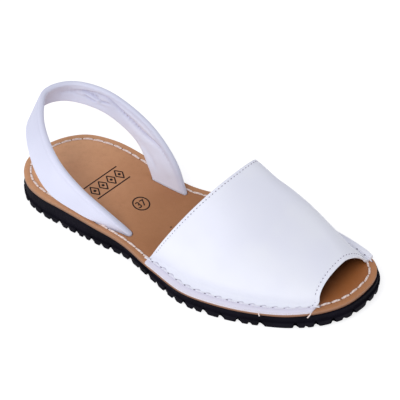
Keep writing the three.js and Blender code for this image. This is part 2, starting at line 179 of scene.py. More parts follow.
def outlineControls():
    rows = [(heelOutline, shoe["heelWidth"]), (ballOutline, shoe["ballWidth"])]
    along = np.concatenate([rows[0][0]["along"], rows[1][0]["along"]]) * shoe["length"]
    medial = np.concatenate([part["medial"] * width for part, width in rows])
    lateral = np.concatenate([part["lateral"] * width for part, width in rows])
    heel = [(0, outlineEnds["heelBack"] * shoe["heelWidth"])]
    toe = [(shoe["length"], outlineEnds["toeTip"] * shoe["ballWidth"])]
    return heel + list(zip(along, medial)) + toe + list(zip(along[::-1], -lateral[::-1]))


outlinePoints = smoothCurve(outlineControls(), True)(np.linspace(0, 1, shoe["outlineSteps"] + 1))
outlineRun = np.concatenate([[0], np.cumsum(np.linalg.norm(np.diff(outlinePoints, axis=0), axis=1))])
outlineLength = outlineRun[-1]
outlineShare = outlineRun / outlineLength
outlineTangent = np.gradient(np.vstack([outlinePoints[-2], outlinePoints, outlinePoints[1]]), axis=0)[1:-1]
outlineTangent /= np.linalg.norm(outlineTangent, axis=1)[:, None]
outlineOutward = np.stack([-outlineTangent[:, 1], outlineTangent[:, 0]], 1)
toeShare = outlineShare[outlinePoints[:, 0].argmax()]


# points of the outline at shares of its length, moved outwards by grow
def outlineAt(share, grow=0.0):
    share = np.asarray(share, float) % 1.0
    point = np.stack([np.interp(share, outlineShare, outlinePoints[:, axis]) for axis in (0, 1)], -1)
    out = np.stack([np.interp(share, outlineShare, outlineOutward[:, axis]) for axis in (0, 1)], -1)
    return point + out * np.asarray(grow, float)[..., None]


# y of one side of the outline, moved inwards by inset, and the share of the outline there
def outlineSide(x, side, inset):
    medial = outlineShare <= toeShare
    half = medial if side > 0 else ~medial
    loop = outlinePoints[half] - outlineOutward[half] * inset
    order = np.argsort(loop[:, 0])
    y = np.interp(x, loop[order, 0], loop[order, 1])
    return y, np.interp(x, loop[order, 0], outlineShare[half][order])


# how far inside the outline each point lies
def insetOf(points):
    every = 4
    line, out = outlinePoints[:-1:every], outlineOutward[:-1:every]
    result = np.empty(len(points))
    for start in range(0, len(points), 2000):
        part = points[start:start + 2000]
        gap = part[:, None, :] - line[None, :, :]
        nearest = (gap ** 2).sum(-1).argmin(1)
        result[start:start + 2000] = -(gap[np.arange(len(part)), nearest] * out[nearest]).sum(-1)
    return result


def toeLedge(x):
    return shoe["toeLedge"] * smoothstep(shoe["toeLedgeStart"], 1, np.asarray(x, float) / shoe["length"])


# from the shoe's own millimetres to the frame's metres
def frameShift():
    low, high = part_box("insole")
    middle = (outlinePoints[:, 1].max() + outlinePoints[:, 1].min()) / 2
    return np.array([low.x * 1000 - outlinePoints[:, 0].min(), (low.y + high.y) * 500 - middle, 0.0])


shift = frameShift()


def toFrame(points):
    return (np.asarray(points, float) + shift) / 1000


print("outline", round(outlineLength, 1), "mm, shift", np.round(shift, 2))


# one value in a node tree; sums and products on it add math nodes
class Wire:
    def __init__(self, bench, socket):
        self.bench = bench
        self.socket = socket

    def combine(self, operation, first, second=None):
        values = {0: first} if second is None else {0: first, 1: second}
        return self.bench.add("ShaderNodeMath", {"operation": operation}, values)

    def __add__(self, other):
        return self.combine("ADD", self, other)

    def __sub__(self, other):
        return self.combine("SUBTRACT", self, other)

    def __rsub__(self, other):
        return self.combine("SUBTRACT", other, self)

    def __mul__(self, other):
        return self.combine("MULTIPLY", self, other)

    def __neg__(self):
        return self * -1

    __radd__ = __add__
    __rmul__ = __mul__

    def sin(self):
        return self.combine("SINE", self)

    def size(self):
        return self.combine("ABSOLUTE", self)


# adds nodes to one tree: settings are set first, then the sockets get values or links
class Bench:
    def __init__(self, tree):
        self.tree = tree

    def pick(self, sockets, key):
        if isinstance(key, int):
            return sockets[key]
        return next(s for s in sockets if s.name == key and s.enabled)

    def add(self, kind, settings=None, values=None, output=0):
        node = self.tree.nodes.new(kind)
        for name, value in (settings or {}).items():
            setattr(node, name, value)
        for key, value in (values or {}).items():
            socket = self.pick(node.inputs, key)
            if isinstance(value, Wire):
                self.tree.links.new(value.socket, socket)
            else:
                socket.default_value = value
        if not len(node.outputs):
            return node
        if output == 0 and not node.outputs[0].enabled:
            return Wire(self, next(s for s in node.outputs if s.enabled))
        return Wire(self, self.pick(node.outputs, output))


# a material on its bench, with the short ways that the finishes below share
class Finish(Bench):
    def __init__(self, name):
        self.material = bpy.data.materials.new(name)
        self.material.use_nodes = True
        super().__init__(self.material.node_tree)
        self.shader = self.tree.nodes["Principled BSDF"]
        self.place = self.add("ShaderNodeTexCoord", output="Object")

    def noise(self, perMetre, detail=3.0, roughness=0.5):
        values = {"Vector": self.place, "Scale": perMetre, "Detail": detail, "Roughness": roughness}
        return self.add("ShaderNodeTexNoise", None, values)

    def cells(self, perMetre):
        return self.add("ShaderNodeTexVoronoi", None, {"Vector": self.place, "Scale": perMetre})

    def axis(self, name):
        return self.add("ShaderNodeSeparateXYZ", None, {"Vector": self.place}, name)

    def between(self, value, low, high):
        values = {"Value": value, 1: low, 2: high}
        return self.add("ShaderNodeMapRange", {"interpolation_type": "SMOOTHSTEP"}, values)

    def mix(self, factor, first, second):
        first, second = (tone if isinstance(tone, Wire) else (*tone, 1) for tone in (first, second))
        values = {"Factor": factor, "A": first, "B": second}
        return self.add("ShaderNodeMix", {"data_type": "RGBA"}, values, "Result")

    # lays a mark, given as its strength and its screen colour, over a tone: some marks are real stains,
    # others painted shade
    def stainAndShade(self, tone, where, strengthAndScreen):
        strength, screen = strengthAndScreen
        return self.mix(where * strength, tone, colour(*screen))

    def stored(self, name):
        return self.add("ShaderNodeAttribute", {"attribute_name": name}, None, "Fac")

    def bump(self, height, strength, distance, under=None):
        values = {"Height": height, "Strength": strength, "Distance": distance}
        if under is not None:
            values["Normal"] = under
        return self.add("ShaderNodeBump", None, values)

    def finish(self, **sockets):
        for name, value in sockets.items():
            socket = self.shader.inputs[name.replace("_", " ")]
            if isinstance(value, Wire):
                self.tree.links.new(value.socket, socket)
            else:
                socket.default_value = (*value, 1) if isinstance(value, tuple) else value
        return self.material


# screen colour, as 0 to 255, to the linear colour that sockets take
def colour(*screen):
    shares = [value / 255 for value in screen]
    return tuple(((share + 0.055) / 1.055) ** 2.4 if share > 0.04 else share / 12.92 for share in shares)


# stains and painted shades are a strength and a screen colour; lengths here are the shoe's millimetres
whiteFinish = {
    # painted shade: the flange outward of the stitch arch is laid darker and lavender
    "flange": (220, 216, 234),
    # painted light: a paler tone laid on the strap's inner face
    "paintedLight": (240, 240, 255),
    # painted shade: darker lavender laid in the sunk creases and folds
    "fold": (0.35, (168, 164, 190)),
    # painted shade: a grey line laid along the arched crease pulled by each flange stitch
    "pullCreaseShade": (0.45, (150, 146, 166)),
    "pullPitch": 7.0,
    "pullHeight": 1.3,
    "pullHalfWidth": 0.42,
    "cutEdge": (0.7, (205, 198, 196)),
}


def makeWhiteLeather(name, low, high):
    w = whiteFinish
    look = Finish(name)
    pores = look.between(look.cells(1500), 0.0, 0.5)
    wrinkle = look.noise(420, 4, 0.6)
    cloud = look.noise(28, 2)
    tone = look.mix(look.between(cloud, 0.35, 0.65), colour(*low), colour(*high))
    cut = look.stored("cutEdge")
    # the pull of the flange stitches: an arch from hole to hole, bumped as a crease and darkened along its
    # line as painted shade
    arch = (look.stored("alongFlange") * (2 * math.pi / w["pullPitch"]) + math.pi / 2).sin() * 0.5 + 0.5
    inside = look.stored("fromStitch") - arch * w["pullHeight"]
    flange = 1 - look.between(inside, -0.5, 0.3)
    pullCreaseShade = 1 - look.between(inside.size(), 0.08, w["pullHalfWidth"])
    # painted shade on the flange, strong on the lateral side and faint on the medial
    tone = look.mix(flange * look.stored("paintedFlangeShade"), tone, colour(*w["flange"]))
    # painted light: paler tone on the strap's inner face towards the medial foot
    tone = look.mix(look.stored("paintedLight"), tone, colour(*w["paintedLight"]))
    # painted shade in the sunk creases and folds
    tone = look.stainAndShade(tone, look.stored("fold"), w["fold"])
    # painted shade along the pulled crease
    tone = look.stainAndShade(tone, pullCreaseShade, w["pullCreaseShade"])
    tone = look.stainAndShade(tone, cut * look.between(look.noise(1800, 3), 0.35, 0.7), w["cutEdge"])
    under = look.bump(wrinkle, 0.10, 0.0004)
    under = look.bump(1 - pullCreaseShade, 0.5, 0.0003, under)
    return look.finish(
        Base_Color=tone,
        Roughness=0.46 + look.noise(160, 3) * 0.12 + cut * 0.2,
        Coat_Weight=0.05,
        Coat_Roughness=0.35,
        Specular_IOR_Level=0.38,
        Normal=look.bump(pores, 0.12, 0.00012, under),
    )


# between values are the frame's metres, the speck's place is the shoe's millimetres
tanFinish = {
    # painted light and shade: the heel end is laid lighter and the fore part darker, as the light falls
    "heel": ((230, 174, 132), (221, 163, 121)),
    "fore": ((180, 123, 82), (170, 113, 73)),
    "foreBetween": (-0.115, -0.01),
    # painted shade: the toe end is laid deeper and more saturated, for the shade inside the toe
    "toe": (168, 101, 50),
    "toeBetween": (0.075, 0.1),
    # painted shade: a deep brown laid on the insole under the vamp
    "covered": (0.85, (72, 28, 4)),
    "fibre": (0.16, (160, 108, 72)),
    "pores": (0.12, (118, 74, 46)),
    "speck": (0.85, (60, 36, 24)),
    "speckPlace": (114.5, -11.2, 0.0),
    "speckBetween": (0.0005, 0.0012),
    "rim": (0.55, (200, 146, 106)),
    "groove": (0.45, (142, 92, 60)),
    "edge": (158, 118, 94),
    # painted shadow: dark brown laid round the slits where the strap's feet go in
    "slit": (0.75, (92, 56, 36)),
}


def makeTanLeather():
    t = tanFinish
    look = Finish("tanLeather")
    cloud = look.between(look.noise(26, 3, 0.55), 0.3, 0.72)
    fibre = look.noise(260, 5, 0.65)
    pores = look.between(look.cells(1300), 0.05, 0.42)
    along, across = look.axis("X"), look.axis("Y")
    # painted light and shade: lighter heel end, darker fore part
    heel, fore = (look.mix(cloud, *(colour(*screen) for screen in t[part])) for part in ("heel", "fore"))
    tone = look.mix(look.between(along, *t["foreBetween"]), heel, fore)
    # painted shade inside the toe
    tone = look.mix(look.between(along, *t["toeBetween"]), tone, colour(*t["toe"]))
    # painted shade under the vamp
    tone = look.stainAndShade(tone, look.stored("covered"), t["covered"])
    tone = look.stainAndShade(tone, look.between(fibre, 0.42, 0.75), t["fibre"])
    tone = look.stainAndShade(tone, 1 - pores, t["pores"])
    # one dark speck beside the vamp
    speckX, speckY, _ = (float(value) for value in toFrame(t["speckPlace"]))
    away = (along - speckX).size() + (across - speckY).size()
    tone = look.stainAndShade(tone, 1 - look.between(away, *t["speckBetween"]), t["speck"])
    tone = look.stainAndShade(tone, look.stored("rim"), t["rim"])
    tone = look.stainAndShade(tone, look.stored("groove"), t["groove"])
    layers = look.between(look.noise(900, 3, 0.6), 0.35, 0.7)
    tone = look.mix(look.stored("edge") * (0.45 + layers * 0.4), tone, colour(*t["edge"]))
    # painted shadow round the slits
    tone = look.stainAndShade(tone, look.stored("slit"), t["slit"])
    under = look.bump(fibre, 0.16, 0.0005)
    return look.finish(
        Base_Color=tone,
        Roughness=0.5 + fibre * 0.16,
        Coat_Weight=0.04,
        Coat_Roughness=0.4,
        Specular_IOR_Level=0.4,
        Normal=look.bump(pores, 0.2, 0.00015, under),
    )


# too dark for screen colours, so these are linear
rubberFinish = {
    "low": (0.0028, 0.0022, 0.0056),
    "high": (0.006, 0.0048, 0.0105),
    "crumb": (0.016, 0.014, 0.022),
    "crumbStrength": 0.5,
}


def makeRubber():
    f = rubberFinish
    look = Finish("blackRubber")
    pores = look.between(look.cells(900), 0.05, 0.3)
    crumb = look.noise(700, 4, 0.6)
    cloud = look.noise(60, 3)
    tone = look.mix(look.between(cloud, 0.3, 0.7), f["low"], f["high"])
    tone = look.mix(look.between(crumb, 0.58, 0.8) * f["crumbStrength"], tone, f["crumb"])
    under = look.bump(crumb, 0.35, 0.0004)
    return look.finish(
        Base_Color=tone,
        Roughness=0.66 + crumb * 0.25,
        Specular_IOR_Level=0.08,
        Normal=look.bump(pores, 0.3, 0.0003, under),
    )


threadFinish = {"strandsPerMetre": 2600, "strandsRound": 6.283}


def makeThread(name, dark, pale):
    look = Finish(name)
    along = look.stored("alongThread") * threadFinish["strandsPerMetre"]
    turn = (along + look.stored("aroundThread") * threadFinish["strandsRound"]).sin()
    fibre = look.noise(2500, 3)
    # painted shade: the darker tone lies in the grooves of the twist
    tone = look.mix(look.between(turn * 0.5 + 0.5, 0.0, 0.6), colour(*dark), colour(*pale))
    return look.finish(
        Base_Color=tone,
        Roughness=0.55 + fibre * 0.2,
        Specular_IOR_Level=0.35,
        Normal=look.bump(turn + fibre * 0.6, 0.35, 0.0001),
    )


# painted shade: the lining is laid a deep brown, darker than its tan leather, for the shade inside the toe
shadedLiningFinish = {"low": (98, 48, 14), "high": (82, 38, 9), "nap": (0.4, (92, 48, 18))}


def makeShadedLining():
    f = shadedLiningFinish
    look = Finish("vampLining")
    nap = look.noise(1600, 5, 0.7)
    cloud = look.noise(45, 3)
    tone = look.mix(look.between(cloud, 0.3, 0.7), colour(*f["low"]), colour(*f["high"]))
    return look.finish(
        Base_Color=look.stainAndShade(tone, nap, f["nap"]),
        Roughness=0.9,
        Specular_IOR_Level=0.2,
        Normal=look.bump(nap, 0.4, 0.0003),
    )


inkFinish = {"full": (34, 18, 14), "worn": (72, 44, 32)}


def makeInk():
    look = Finish("stampInk")
    grain = look.noise(1500, 4, 0.6)
    full, worn = (colour(*inkFinish[part]) for part in ("full", "worn"))
    return look.finish(
        Base_Color=look.mix(look.between(grain, 0.5, 0.75), full, worn),
        Roughness=0.62,
        Specular_IOR_Level=0.3,
        Normal=look.bump(grain, 0.2, 0.0001),
    )


# painted shade: the dark tone of a flat disc that stands in for the inside of a stitch hole
def makeHoleShade(name, dark, pale):
    look = Finish(name)
    tone = look.mix(look.noise(2000, 2), colour(*dark), colour(*pale))
    return look.finish(Base_Color=tone, Roughness=0.9, Specular_IOR_Level=0.1)


materials = {
    "white": makeWhiteLeather("whiteLeather", (239, 241, 254), (243, 245, 255)),
    # painted shade: the strap's leather is the vamp's white leather laid darker and greyer
    "shadedStrapWhite": makeWhiteLeather("strapLeather", (222, 224, 244), (227, 229, 248)),
    "tan": makeTanLeather(),
    "rubber": makeRubber(),
    "thread": makeThread("waxedThread", (224, 202, 194), (246, 230, 224)),
    "whiteThread": makeThread("whiteThread", (232, 232, 243), (241, 241, 251)),
    "lining": makeShadedLining(),
    "ink": makeInk(),
    "hole": makeHoleShade("needleHoleShade", (112, 106, 126), (138, 132, 150)),
    "tanHoleShade": makeHoleShade("awlHoleShade", (104, 66, 42), (128, 84, 54)),
}
print("materials", len(materials))


# quads between the rows of a grid of points
def gridFaces(rows, columns, closed=False, start=0):
    last = columns if closed else columns - 1
    row, column = np.meshgrid(np.arange(rows - 1), np.arange(last), indexing="ij")
    a = row * columns + column
    b = row * columns + (column + 1) % columns
    return (np.stack([a, b, b + columns, a + columns], -1).reshape(-1, 4) + start).tolist()


# turns a closed mesh's faces outwards
def faceOut(mesh):
    work = bmesh.new()
    work.from_mesh(mesh)
    bmesh.ops.recalc_face_normals(work, faces=work.faces)
    if work.calc_volume(signed=True) < 0:
        bmesh.ops.reverse_faces(work, faces=work.faces)
    work.to_mesh(mesh)
    work.free()


def makePiece(name, points, faces, material, flat=None, stored=None, sharp=40, solid=True):
    mesh = bpy.data.meshes.new(name)
    mesh.from_pydata(toFrame(points).tolist(), [], faces)
    mesh.update()
    if solid:
        faceOut(mesh)
    mesh.shade_smooth()
    mesh.set_sharp_from_angle(angle=math.radians(sharp))
    if flat is not None:
        layer = mesh.uv_layers.new(name="UVMap")
        corner = np.empty(len(mesh.loops), np.int32)
        mesh.loops.foreach_get("vertex_index", corner)
        layer.data.foreach_set("uv", np.asarray(flat, np.float32)[corner].ravel())
    for key, values in (stored or {}).items():
        mesh.attributes.new(key, "FLOAT", "POINT").data.foreach_set("value", np.asarray(values, np.float32))
    mesh.materials.append(material)
    piece = bpy.data.objects.new(name, mesh)
    bpy.context.scene.collection.objects.link(piece)
    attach(piece, "root")
    return piece


def insideLoop(points, loop):
    after = np.roll(loop, -1, axis=0)
    inside = np.zeros(len(points), bool)
    for (x1, y1), (x2, y2) in zip(loop, after):
        if y1 == y2:
            continue
        crosses = (points[:, 1] > y1) != (points[:, 1] > y2)
        inside ^= crosses & (points[:, 0] < x1 + (points[:, 1] - y1) * (x2 - x1) / (y2 - y1))
    return inside


def distanceTo(points, line):
    result = np.full(len(points), np.inf)
    for start, end in zip(line[:-1], line[1:]):
        along = end - start
        share = np.clip(((points - start) @ along) / max((along ** 2).sum(), 1e-9), 0, 1)
        gap = np.linalg.norm(points - start - share[:, None] * along, axis=1)
        result = np.minimum(result, gap)
    return result


# triangles inside the first loop and outside the others, through all the other points given
def fillLoops(loops, scattered, lines=()):
    points = [point for loop in loops for point in loop]
    edges = []
    start = 0
    for loop in loops:
        size = len(loop)
        edges += [(start + index, start + (index + 1) % size) for index in range(size)]
        start += size
    for line in lines:
        points += list(line)
        edges += [(start + index, start + index + 1) for index in range(len(line) - 1)]
        start += len(line)
    points += list(scattered)
    vectors = [Vector((float(x), float(y))) for x, y in points]
    found = geometry.delaunay_2d_cdt(vectors, edges, [], 1, 1e-5)
    flat = np.array([tuple(v) for v in found[0]])
    triangles = np.array(found[2])
    middle = flat[triangles].mean(1)
    keep = np.ones(len(triangles), bool)
    for hole in loops[1:]:
        keep &= ~insideLoop(middle, np.asarray(hole))
    place = {}
    for index, sources in enumerate(found[3]):
        for source in sources:
            place[source] = index
    order = []
    start = 0
    for loop in loops:
        order.append([place[start + index] for index in range(len(loop))])
        start += len(loop)
    return flat, triangles[keep], order


# points of a triangular grid that lie more than inset inside the outline
def scatterInside(spacing, inset):
    rows = np.arange(0, shoe["length"], spacing * 0.866)
    columns = np.arange(-shoe["ballWidth"], shoe["ballWidth"], spacing)
    x, y = np.meshgrid(rows, columns, indexing="ij")
    y = y + (np.arange(len(rows)) % 2)[:, None] * spacing / 2
    points = np.stack([x.ravel(), y.ravel()], 1)
    return points[insetOf(points) > inset]


# how much lower a rounded edge lies, at a distance in from it
def roundedEdge(distance, radius):
    inward = np.clip(radius - distance, 0, radius)
    return radius - np.sqrt(np.maximum(radius ** 2 - inward ** 2, 0))


rubber = {
    "around": 1900,
    "lugPitch": 14.2,
    "bandHeight": 4.6,
    "bandStep": 1.1,
    "toeStep": 0.3,
    "heelNotches": 1.14,
    "foreNotches": 0.86,
    "lateralLugs": (
        14, 14.5, 15, 15.5, 14.5, 12.5, 15, 17, 18, 16.5, 15.5, 14, 11, 11, 14, 21, 12.5, 10.5, 13.5, 12,
    ),
    "smallFrom": 12.2,
    "smallTo": 19.0,
    "notchWidth": 5.0,
    "notchHeight": 3.0,
    "notchReach": 9.0,
    "smallWidth": 3.2,
    "smallHeight": 1.8,
    "smallReach": 4.0,
    "steepSide": 0.65,
    "slopedSide": 0.2,
    "ribPitch": 2.3,
    "ribDepth": 0.05,
    "ribEnd": 78.0,
    "treadPitch": 7.1,
    "treadWidth": 2.6,
    "treadDepth": 1.5,
    "treadWave": 3.4,
    "treadWaveLength": 17.0,
    "treadInset": 12.2,
    "treadEdge": 11.6,
    "treadHalfLength": 56.0,
    "treadStep": 1.1,
    "topSpacing": 7.0,
    "topInset": 6.0,
    "rimInsets": (11.0, 9.6, 8.8, 6.0, 4.6, 3.9, 2.0, 0.6),
    "bandLevels": (0.35, 1.0, 1.7, 2.4, 3.1, 3.8, 4.3),
    "wallLevels": (0.12, 0.35, 0.6, 0.82),
    "seed": 7,
}


# height of a wedge-shaped notch at offset along the edge, with its steep side last
def notchProfile(offset, width, height):
    half = width / 2
    rise = (offset + half) / (half * (1 + rubber["slopedSide"]))
    fall = (half - offset) / (half * (1 - rubber["steepSide"]))
    return height * np.clip(np.minimum(rise, fall), 0, 1)


# the main notches in millimetres round the outline, medial side first, with one more beyond each end
def notchPlaces():
    lateral = outlineLength - np.cumsum(rubber["lateralLugs"])
    count = round(lateral.min() / rubber["lugPitch"])
    medial = np.arange(count) * lateral.min() / count
    places = np.sort(np.concatenate([medial, lateral]))
    return np.concatenate([[places[-1] - outlineLength], places, [places[0] + outlineLength]])


def buildRubber():
    r = rubber
    share = np.arange(r["around"]) / r["around"]
    x = outlineAt(share)[:, 0]
    low, high = rubberBottom(x), rubberTop(x)
    ledge = toeLedge(x)
    band = r["bandStep"] + r["toeStep"] * smoothstep(0.8, 0.94, x / shoe["length"])
    places = notchPlaces()
    count = len(places) - 2
    chance = np.random.default_rng(r["seed"])
    spread = chance.uniform(0.78, 1.16, (2, count))
    run = share * outlineLength
    small = np.searchsorted(places, run, side="right") - 1
    lug = places[small + 1] - places[small]
    main = np.where(run - places[small] < lug / 2, small, small + 1)
    mainOffset = run - places[main]
    smallOffset = run - (places[small] + places[small + 1]) / 2
    notchX = outlineAt(places[1:-1] / outlineLength)[:, 0]
    forward = smoothstep(0.55, 0.72, notchX / shoe["length"])
    spread *= lerp(r["heelNotches"], r["foreNotches"], forward)
    mainSpread = spread[0, main % count]
    smallSpread = spread[1, small % count] * ((lug > r["smallFrom"]) & (lug < r["smallTo"]))
    mainNotch = notchProfile(mainOffset, r["notchWidth"] * mainSpread, r["notchHeight"] * mainSpread)
    smallNotch = notchProfile(smallOffset, r["smallWidth"] * smallSpread, r["smallHeight"] * smallSpread)

    # groove that carries a notch on up the band, narrower towards its top
    def groove(height):
        reach = np.clip(height / r["bandHeight"], 0, 1)
        mainHalf = lerp(r["notchWidth"] / 2, 0.9, reach)
        smallHalf = lerp(r["smallWidth"] / 2, 0.2, np.clip(height / 2.6, 0, 1)) * np.sign(smallSpread)
        deep = np.clip((mainHalf - np.abs(mainOffset - 0.6)) / 0.6, 0, 1)
        thin = np.clip((smallHalf - np.abs(smallOffset - 0.3)) / 0.5, 0, 1) * (height < 3.2)
        return np.maximum(deep, thin * 0.7)

    ribs = np.cos(2 * math.pi * share * outlineLength / r["ribPitch"]) * r["ribDepth"]
    ribs = ribs * (1 - smoothstep(r["ribEnd"] - 20, r["ribEnd"], x))
    rings = []

    def ring(grow, z):
        rings.append(np.column_stack([outlineAt(share, grow), z]))

    # underside rim, from inside outwards
    for inset in r["rimInsets"]:
        mainFade = 1 - smoothstep(r["notchReach"] - 1.2, r["notchReach"], inset)
        smallFade = 1 - smoothstep(r["smallReach"] - 0.8, r["smallReach"], inset)
        ring(np.full_like(x, -inset), low + np.maximum(mainNotch * mainFade, smallNotch * smallFade))
    notch = np.maximum(mainNotch, smallNotch)
    # side of the lug band, then the smoother wall above it
    ring(ledge + band - 0.35, low + notch)
    for height in r["bandLevels"]:
        z = np.maximum(low + height, low + notch + height * 0.2)
        ring(ledge + band - groove(height) * (band + 0.5), z)
    ring(ledge + band - 0.2 - groove(r["bandHeight"]) * band, low + r["bandHeight"])
    wall = high - low
    ring(ledge + 0.22, low + r["bandHeight"] + 0.32)
    for part in r["wallLevels"]:
        level = lerp(r["bandHeight"] + 0.32, wall - 0.5, part)
        ring(ledge + ribs * math.sin(math.pi * part), low + level)
    ring(ledge, high - 0.5)
    ring(ledge - 0.12, high - 0.15)
    ring(ledge - 0.45, high)
    ring(np.full_like(x, -3.0), high)
    points = np.vstack(rings)
    faces = gridFaces(len(rings), r["around"], closed=True)

    # tread: wavy grooves right across, inside the rim
    def groovesAt(y):
        return r["treadWave"] * np.sin(2 * math.pi * y / r["treadWaveLength"])

    lines = []
    ys = np.arange(-r["treadHalfLength"], r["treadHalfLength"], r["treadStep"])
    half = r["treadWidth"] / 2
    for centre in np.arange(r["treadPitch"], shoe["length"], r["treadPitch"]):
        for away in (-half, -half * 0.55, half * 0.55, half):
            line = np.column_stack([centre + away + groovesAt(ys), ys])
            keep = insetOf(line) > r["treadInset"]
            cuts = np.flatnonzero(np.diff(keep.astype(int)) != 0) + 1
            for part in np.split(line, cuts):
                if len(part) > 1 and insetOf(part[:1])[0] > r["treadInset"]:
                    lines.append(part)
    flat, triangles, order = fillLoops([rings[0][:, :2]], [], lines)
    inPitch = (flat[:, 0] - groovesAt(flat[:, 1])) / r["treadPitch"]
    away = np.abs(inPitch - np.round(inPitch)) * r["treadPitch"]
    depth = r["treadDepth"] * np.clip((half - away) / (half * 0.45), 0, 1)
    depth *= insetOf(flat) > r["treadEdge"]
    points, faces = joinFill(points, faces, flat, triangles, order[0], 0, rubberBottom(flat[:, 0]) + depth)
    top = rings[-1][:, :2]
    flat, triangles, order = fillLoops([top], scatterInside(r["topSpacing"], r["topInset"]))
    first = (len(rings) - 1) * r["around"]
    points, faces = joinFill(points, faces, flat, triangles, order[0], first, rubberTop(flat[:, 0]))
    piece = makePiece("rubberSole", points, faces, materials["rubber"], sharp=32)
    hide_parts("outsole")
    print("rubber", len(points), "points")


# sews a filled face to a ring of points that starts at first
def joinFill(points, faces, flat, triangles, boundary, first, heights):
    index = np.full(len(flat), -1)
    index[boundary] = first + np.arange(len(boundary))
    fresh = np.flatnonzero(index < 0)
    index[fresh] = len(points) + np.arange(len(fresh))
    added = np.column_stack([flat[fresh], heights[fresh]])
    return np.vstack([points, added]), faces + index[triangles].tolist()


vamp = {
    "thickness": 2.0,
    "leather": 1.3,
    "throatHeight": 54.0,
    "flangeWidth": 8.2,
    "flangeInset": 0.1,
    "flangeBend": 2.4,
    "flangeOver": 0.4,
    # how strongly the flange's painted shade is laid, on the lateral and on the medial side
    "lateralFlangeShade": 0.85,
    "medialFlangeShade": 0.1,
    "lateralOver": 0.8,
    "lateralDroop": 1.1,
    "medialDroop": 0.0,
    "medialOver": 0.0,
    "flangeThick": 2.15,
    "rows": 150,
    "archSteps": 110,
    "bendSteps": 7,
    "edgeRadius": 0.45,
    "throatSeam": 1.7,
    "toeSeam": 2.9,
    "seamDepth": 0.22,
    "seamHalfWidth": 0.9,
    "stitchInset": 4.0,
    "stitchDepth": 0.35,
    "stitchHalfWidth": 1.2,
    "stitchPitch": 7.0,
    "scallopMiddle": 0.72,
    "scallopSwing": 0.28,
    "puff": 0.18,
    "puffInside": 2.3,
    "puffHalfWidth": 1.3,
    "droopReach": 2.6,
    "skived": 0.25,
    "skivedReach": 1.6,
}
vampTable = table(
    "at lateral medial crown side rise latFlange medFlange latFull medFull",
    (0.00, 0.456, 0.562, 0.622, 0.06, 1.00, 0.62, 0.62, 2.3, 3.3),
    (0.25, 0.568, 0.665, 0.705, 0.06, 0.80, 1.00, 1.00, 2.2, 2.5),
    (0.50, 0.682, 0.770, 0.778, 0.05, 0.605, 1.00, 1.00, 2.1, 2.5),
    (0.75, 0.795, 0.870, 0.852, 0.01, 0.475, 1.00, 1.00, 2.1, 2.15),
    (1.00, 0.898, 0.970, 0.926, -0.07, 0.29, 0.95, 0.80, 2.1, 1.5),
)


# how far the flange stands out over the insole's edge, most along the middle of the lateral side
def flangeOver(at, way):
    if way > 0:
        return vamp["medialOver"]
    middle = smoothstep(0.1, 0.35, at) * (1 - smoothstep(0.7, 0.95, at))
    return lerp(vamp["flangeOver"], vamp["lateralOver"], middle)


# outer face of the vamp along one section, from the lateral to the medial flange edge
def vampRow(at):
    v = vamp

    def read(name):
        return float(tableValue(vampTable, "at", name, at))

    def level(x):
        return insoleTop(x) + shoe["gap"] + v["thickness"]

    edges = []
    for name, side in (("lateral", -1), ("medial", 1)):
        x = read(name) * shoe["length"]
        edges.append(np.array([x, outlineSide(x, side, v["flangeInset"])[0]]))
    unit = (edges[1] - edges[0]) / np.linalg.norm(edges[1] - edges[0])
    base = [edges[0] + unit * v["flangeWidth"] * read("latFlange"),
            edges[1] - unit * v["flangeWidth"] * read("medFlange")]
    crownX = read("crown") * shoe["length"]
    crownY = read("side") * shoe["ballWidth"]
    crownRise = read("rise") * v["throatHeight"] - shoe["gap"] - v["thickness"]
    slope = (base[1][0] - base[0][0]) / (base[1][1] - base[0][1])

    def baseX(y):
        return base[0][0] + slope * (y - base[0][1])

    lean = crownX - baseX(crownY)

    def arch(turn):
        lateral = turn <= math.pi / 2
        full = np.where(lateral, read("latFull"), read("medFull"))
        foot = np.where(lateral, base[0][1], base[1][1])
        reach = np.abs(np.cos(turn)) ** (2 / full)
        rise = np.sin(turn) ** (2 / full)
        y = crownY + (foot - crownY) * reach
        x = baseX(y) + lean * rise
        return np.column_stack([x, y, level(x) + crownRise * rise])

    first = math.asin((v["flangeBend"] / crownRise) ** (read("latFull") / 2))
    last = math.asin((v["flangeBend"] / crownRise) ** (read("medFull") / 2))
    walls = arch(np.linspace(first, math.pi - last, v["archSteps"] + 1))
    parts = []
    for side, way, wall in ((0, -1, walls[0]), (1, 1, walls[-1])):
        corner = np.append(base[side], level(base[side][0]))
        inner = base[side] + way * unit * v["flangeBend"]
        inner = np.append(inner, level(inner[0]))
        outer = edges[side] + way * unit * flangeOver(at, way)
        outer = np.append(outer, level(outer[0]))
        width = np.linalg.norm(inner - outer)
        inward = np.concatenate([[0, 0.06, 0.16, 0.3, 0.5], np.linspace(0.8, width, 9)[:-1]]) / width
        flat = lerp(outer, inner, inward[:, None])
        t = (np.arange(v["bendSteps"]) / v["bendSteps"])[:, None]
        bend = (1 - t) ** 2 * inner + 2 * t * (1 - t) * corner + t * t * wall
        parts.append(np.vstack([flat, bend]))
    return np.vstack([parts[0], walls, parts[1][::-1]])


def vampRows():
    near = np.array([0, 0.06, 0.16, 0.3, 0.5]) / 95
    middle = np.linspace(0.8 / 95, 1 - 0.8 / 95, vamp["rows"])
    return np.concatenate([near, middle, 1 - near[::-1]])


def gridNormals(grid):
    down = np.gradient(grid, axis=0)
    before = np.diff(grid, axis=1)
    before /= np.linalg.norm(before, axis=-1, keepdims=True)
    across = np.concatenate([before[:, :1], before[:, 1:] + before[:, :-1], before[:, -1:]], 1)
    normal = np.cross(down, across)
    return normal / np.linalg.norm(normal, axis=-1, keepdims=True)


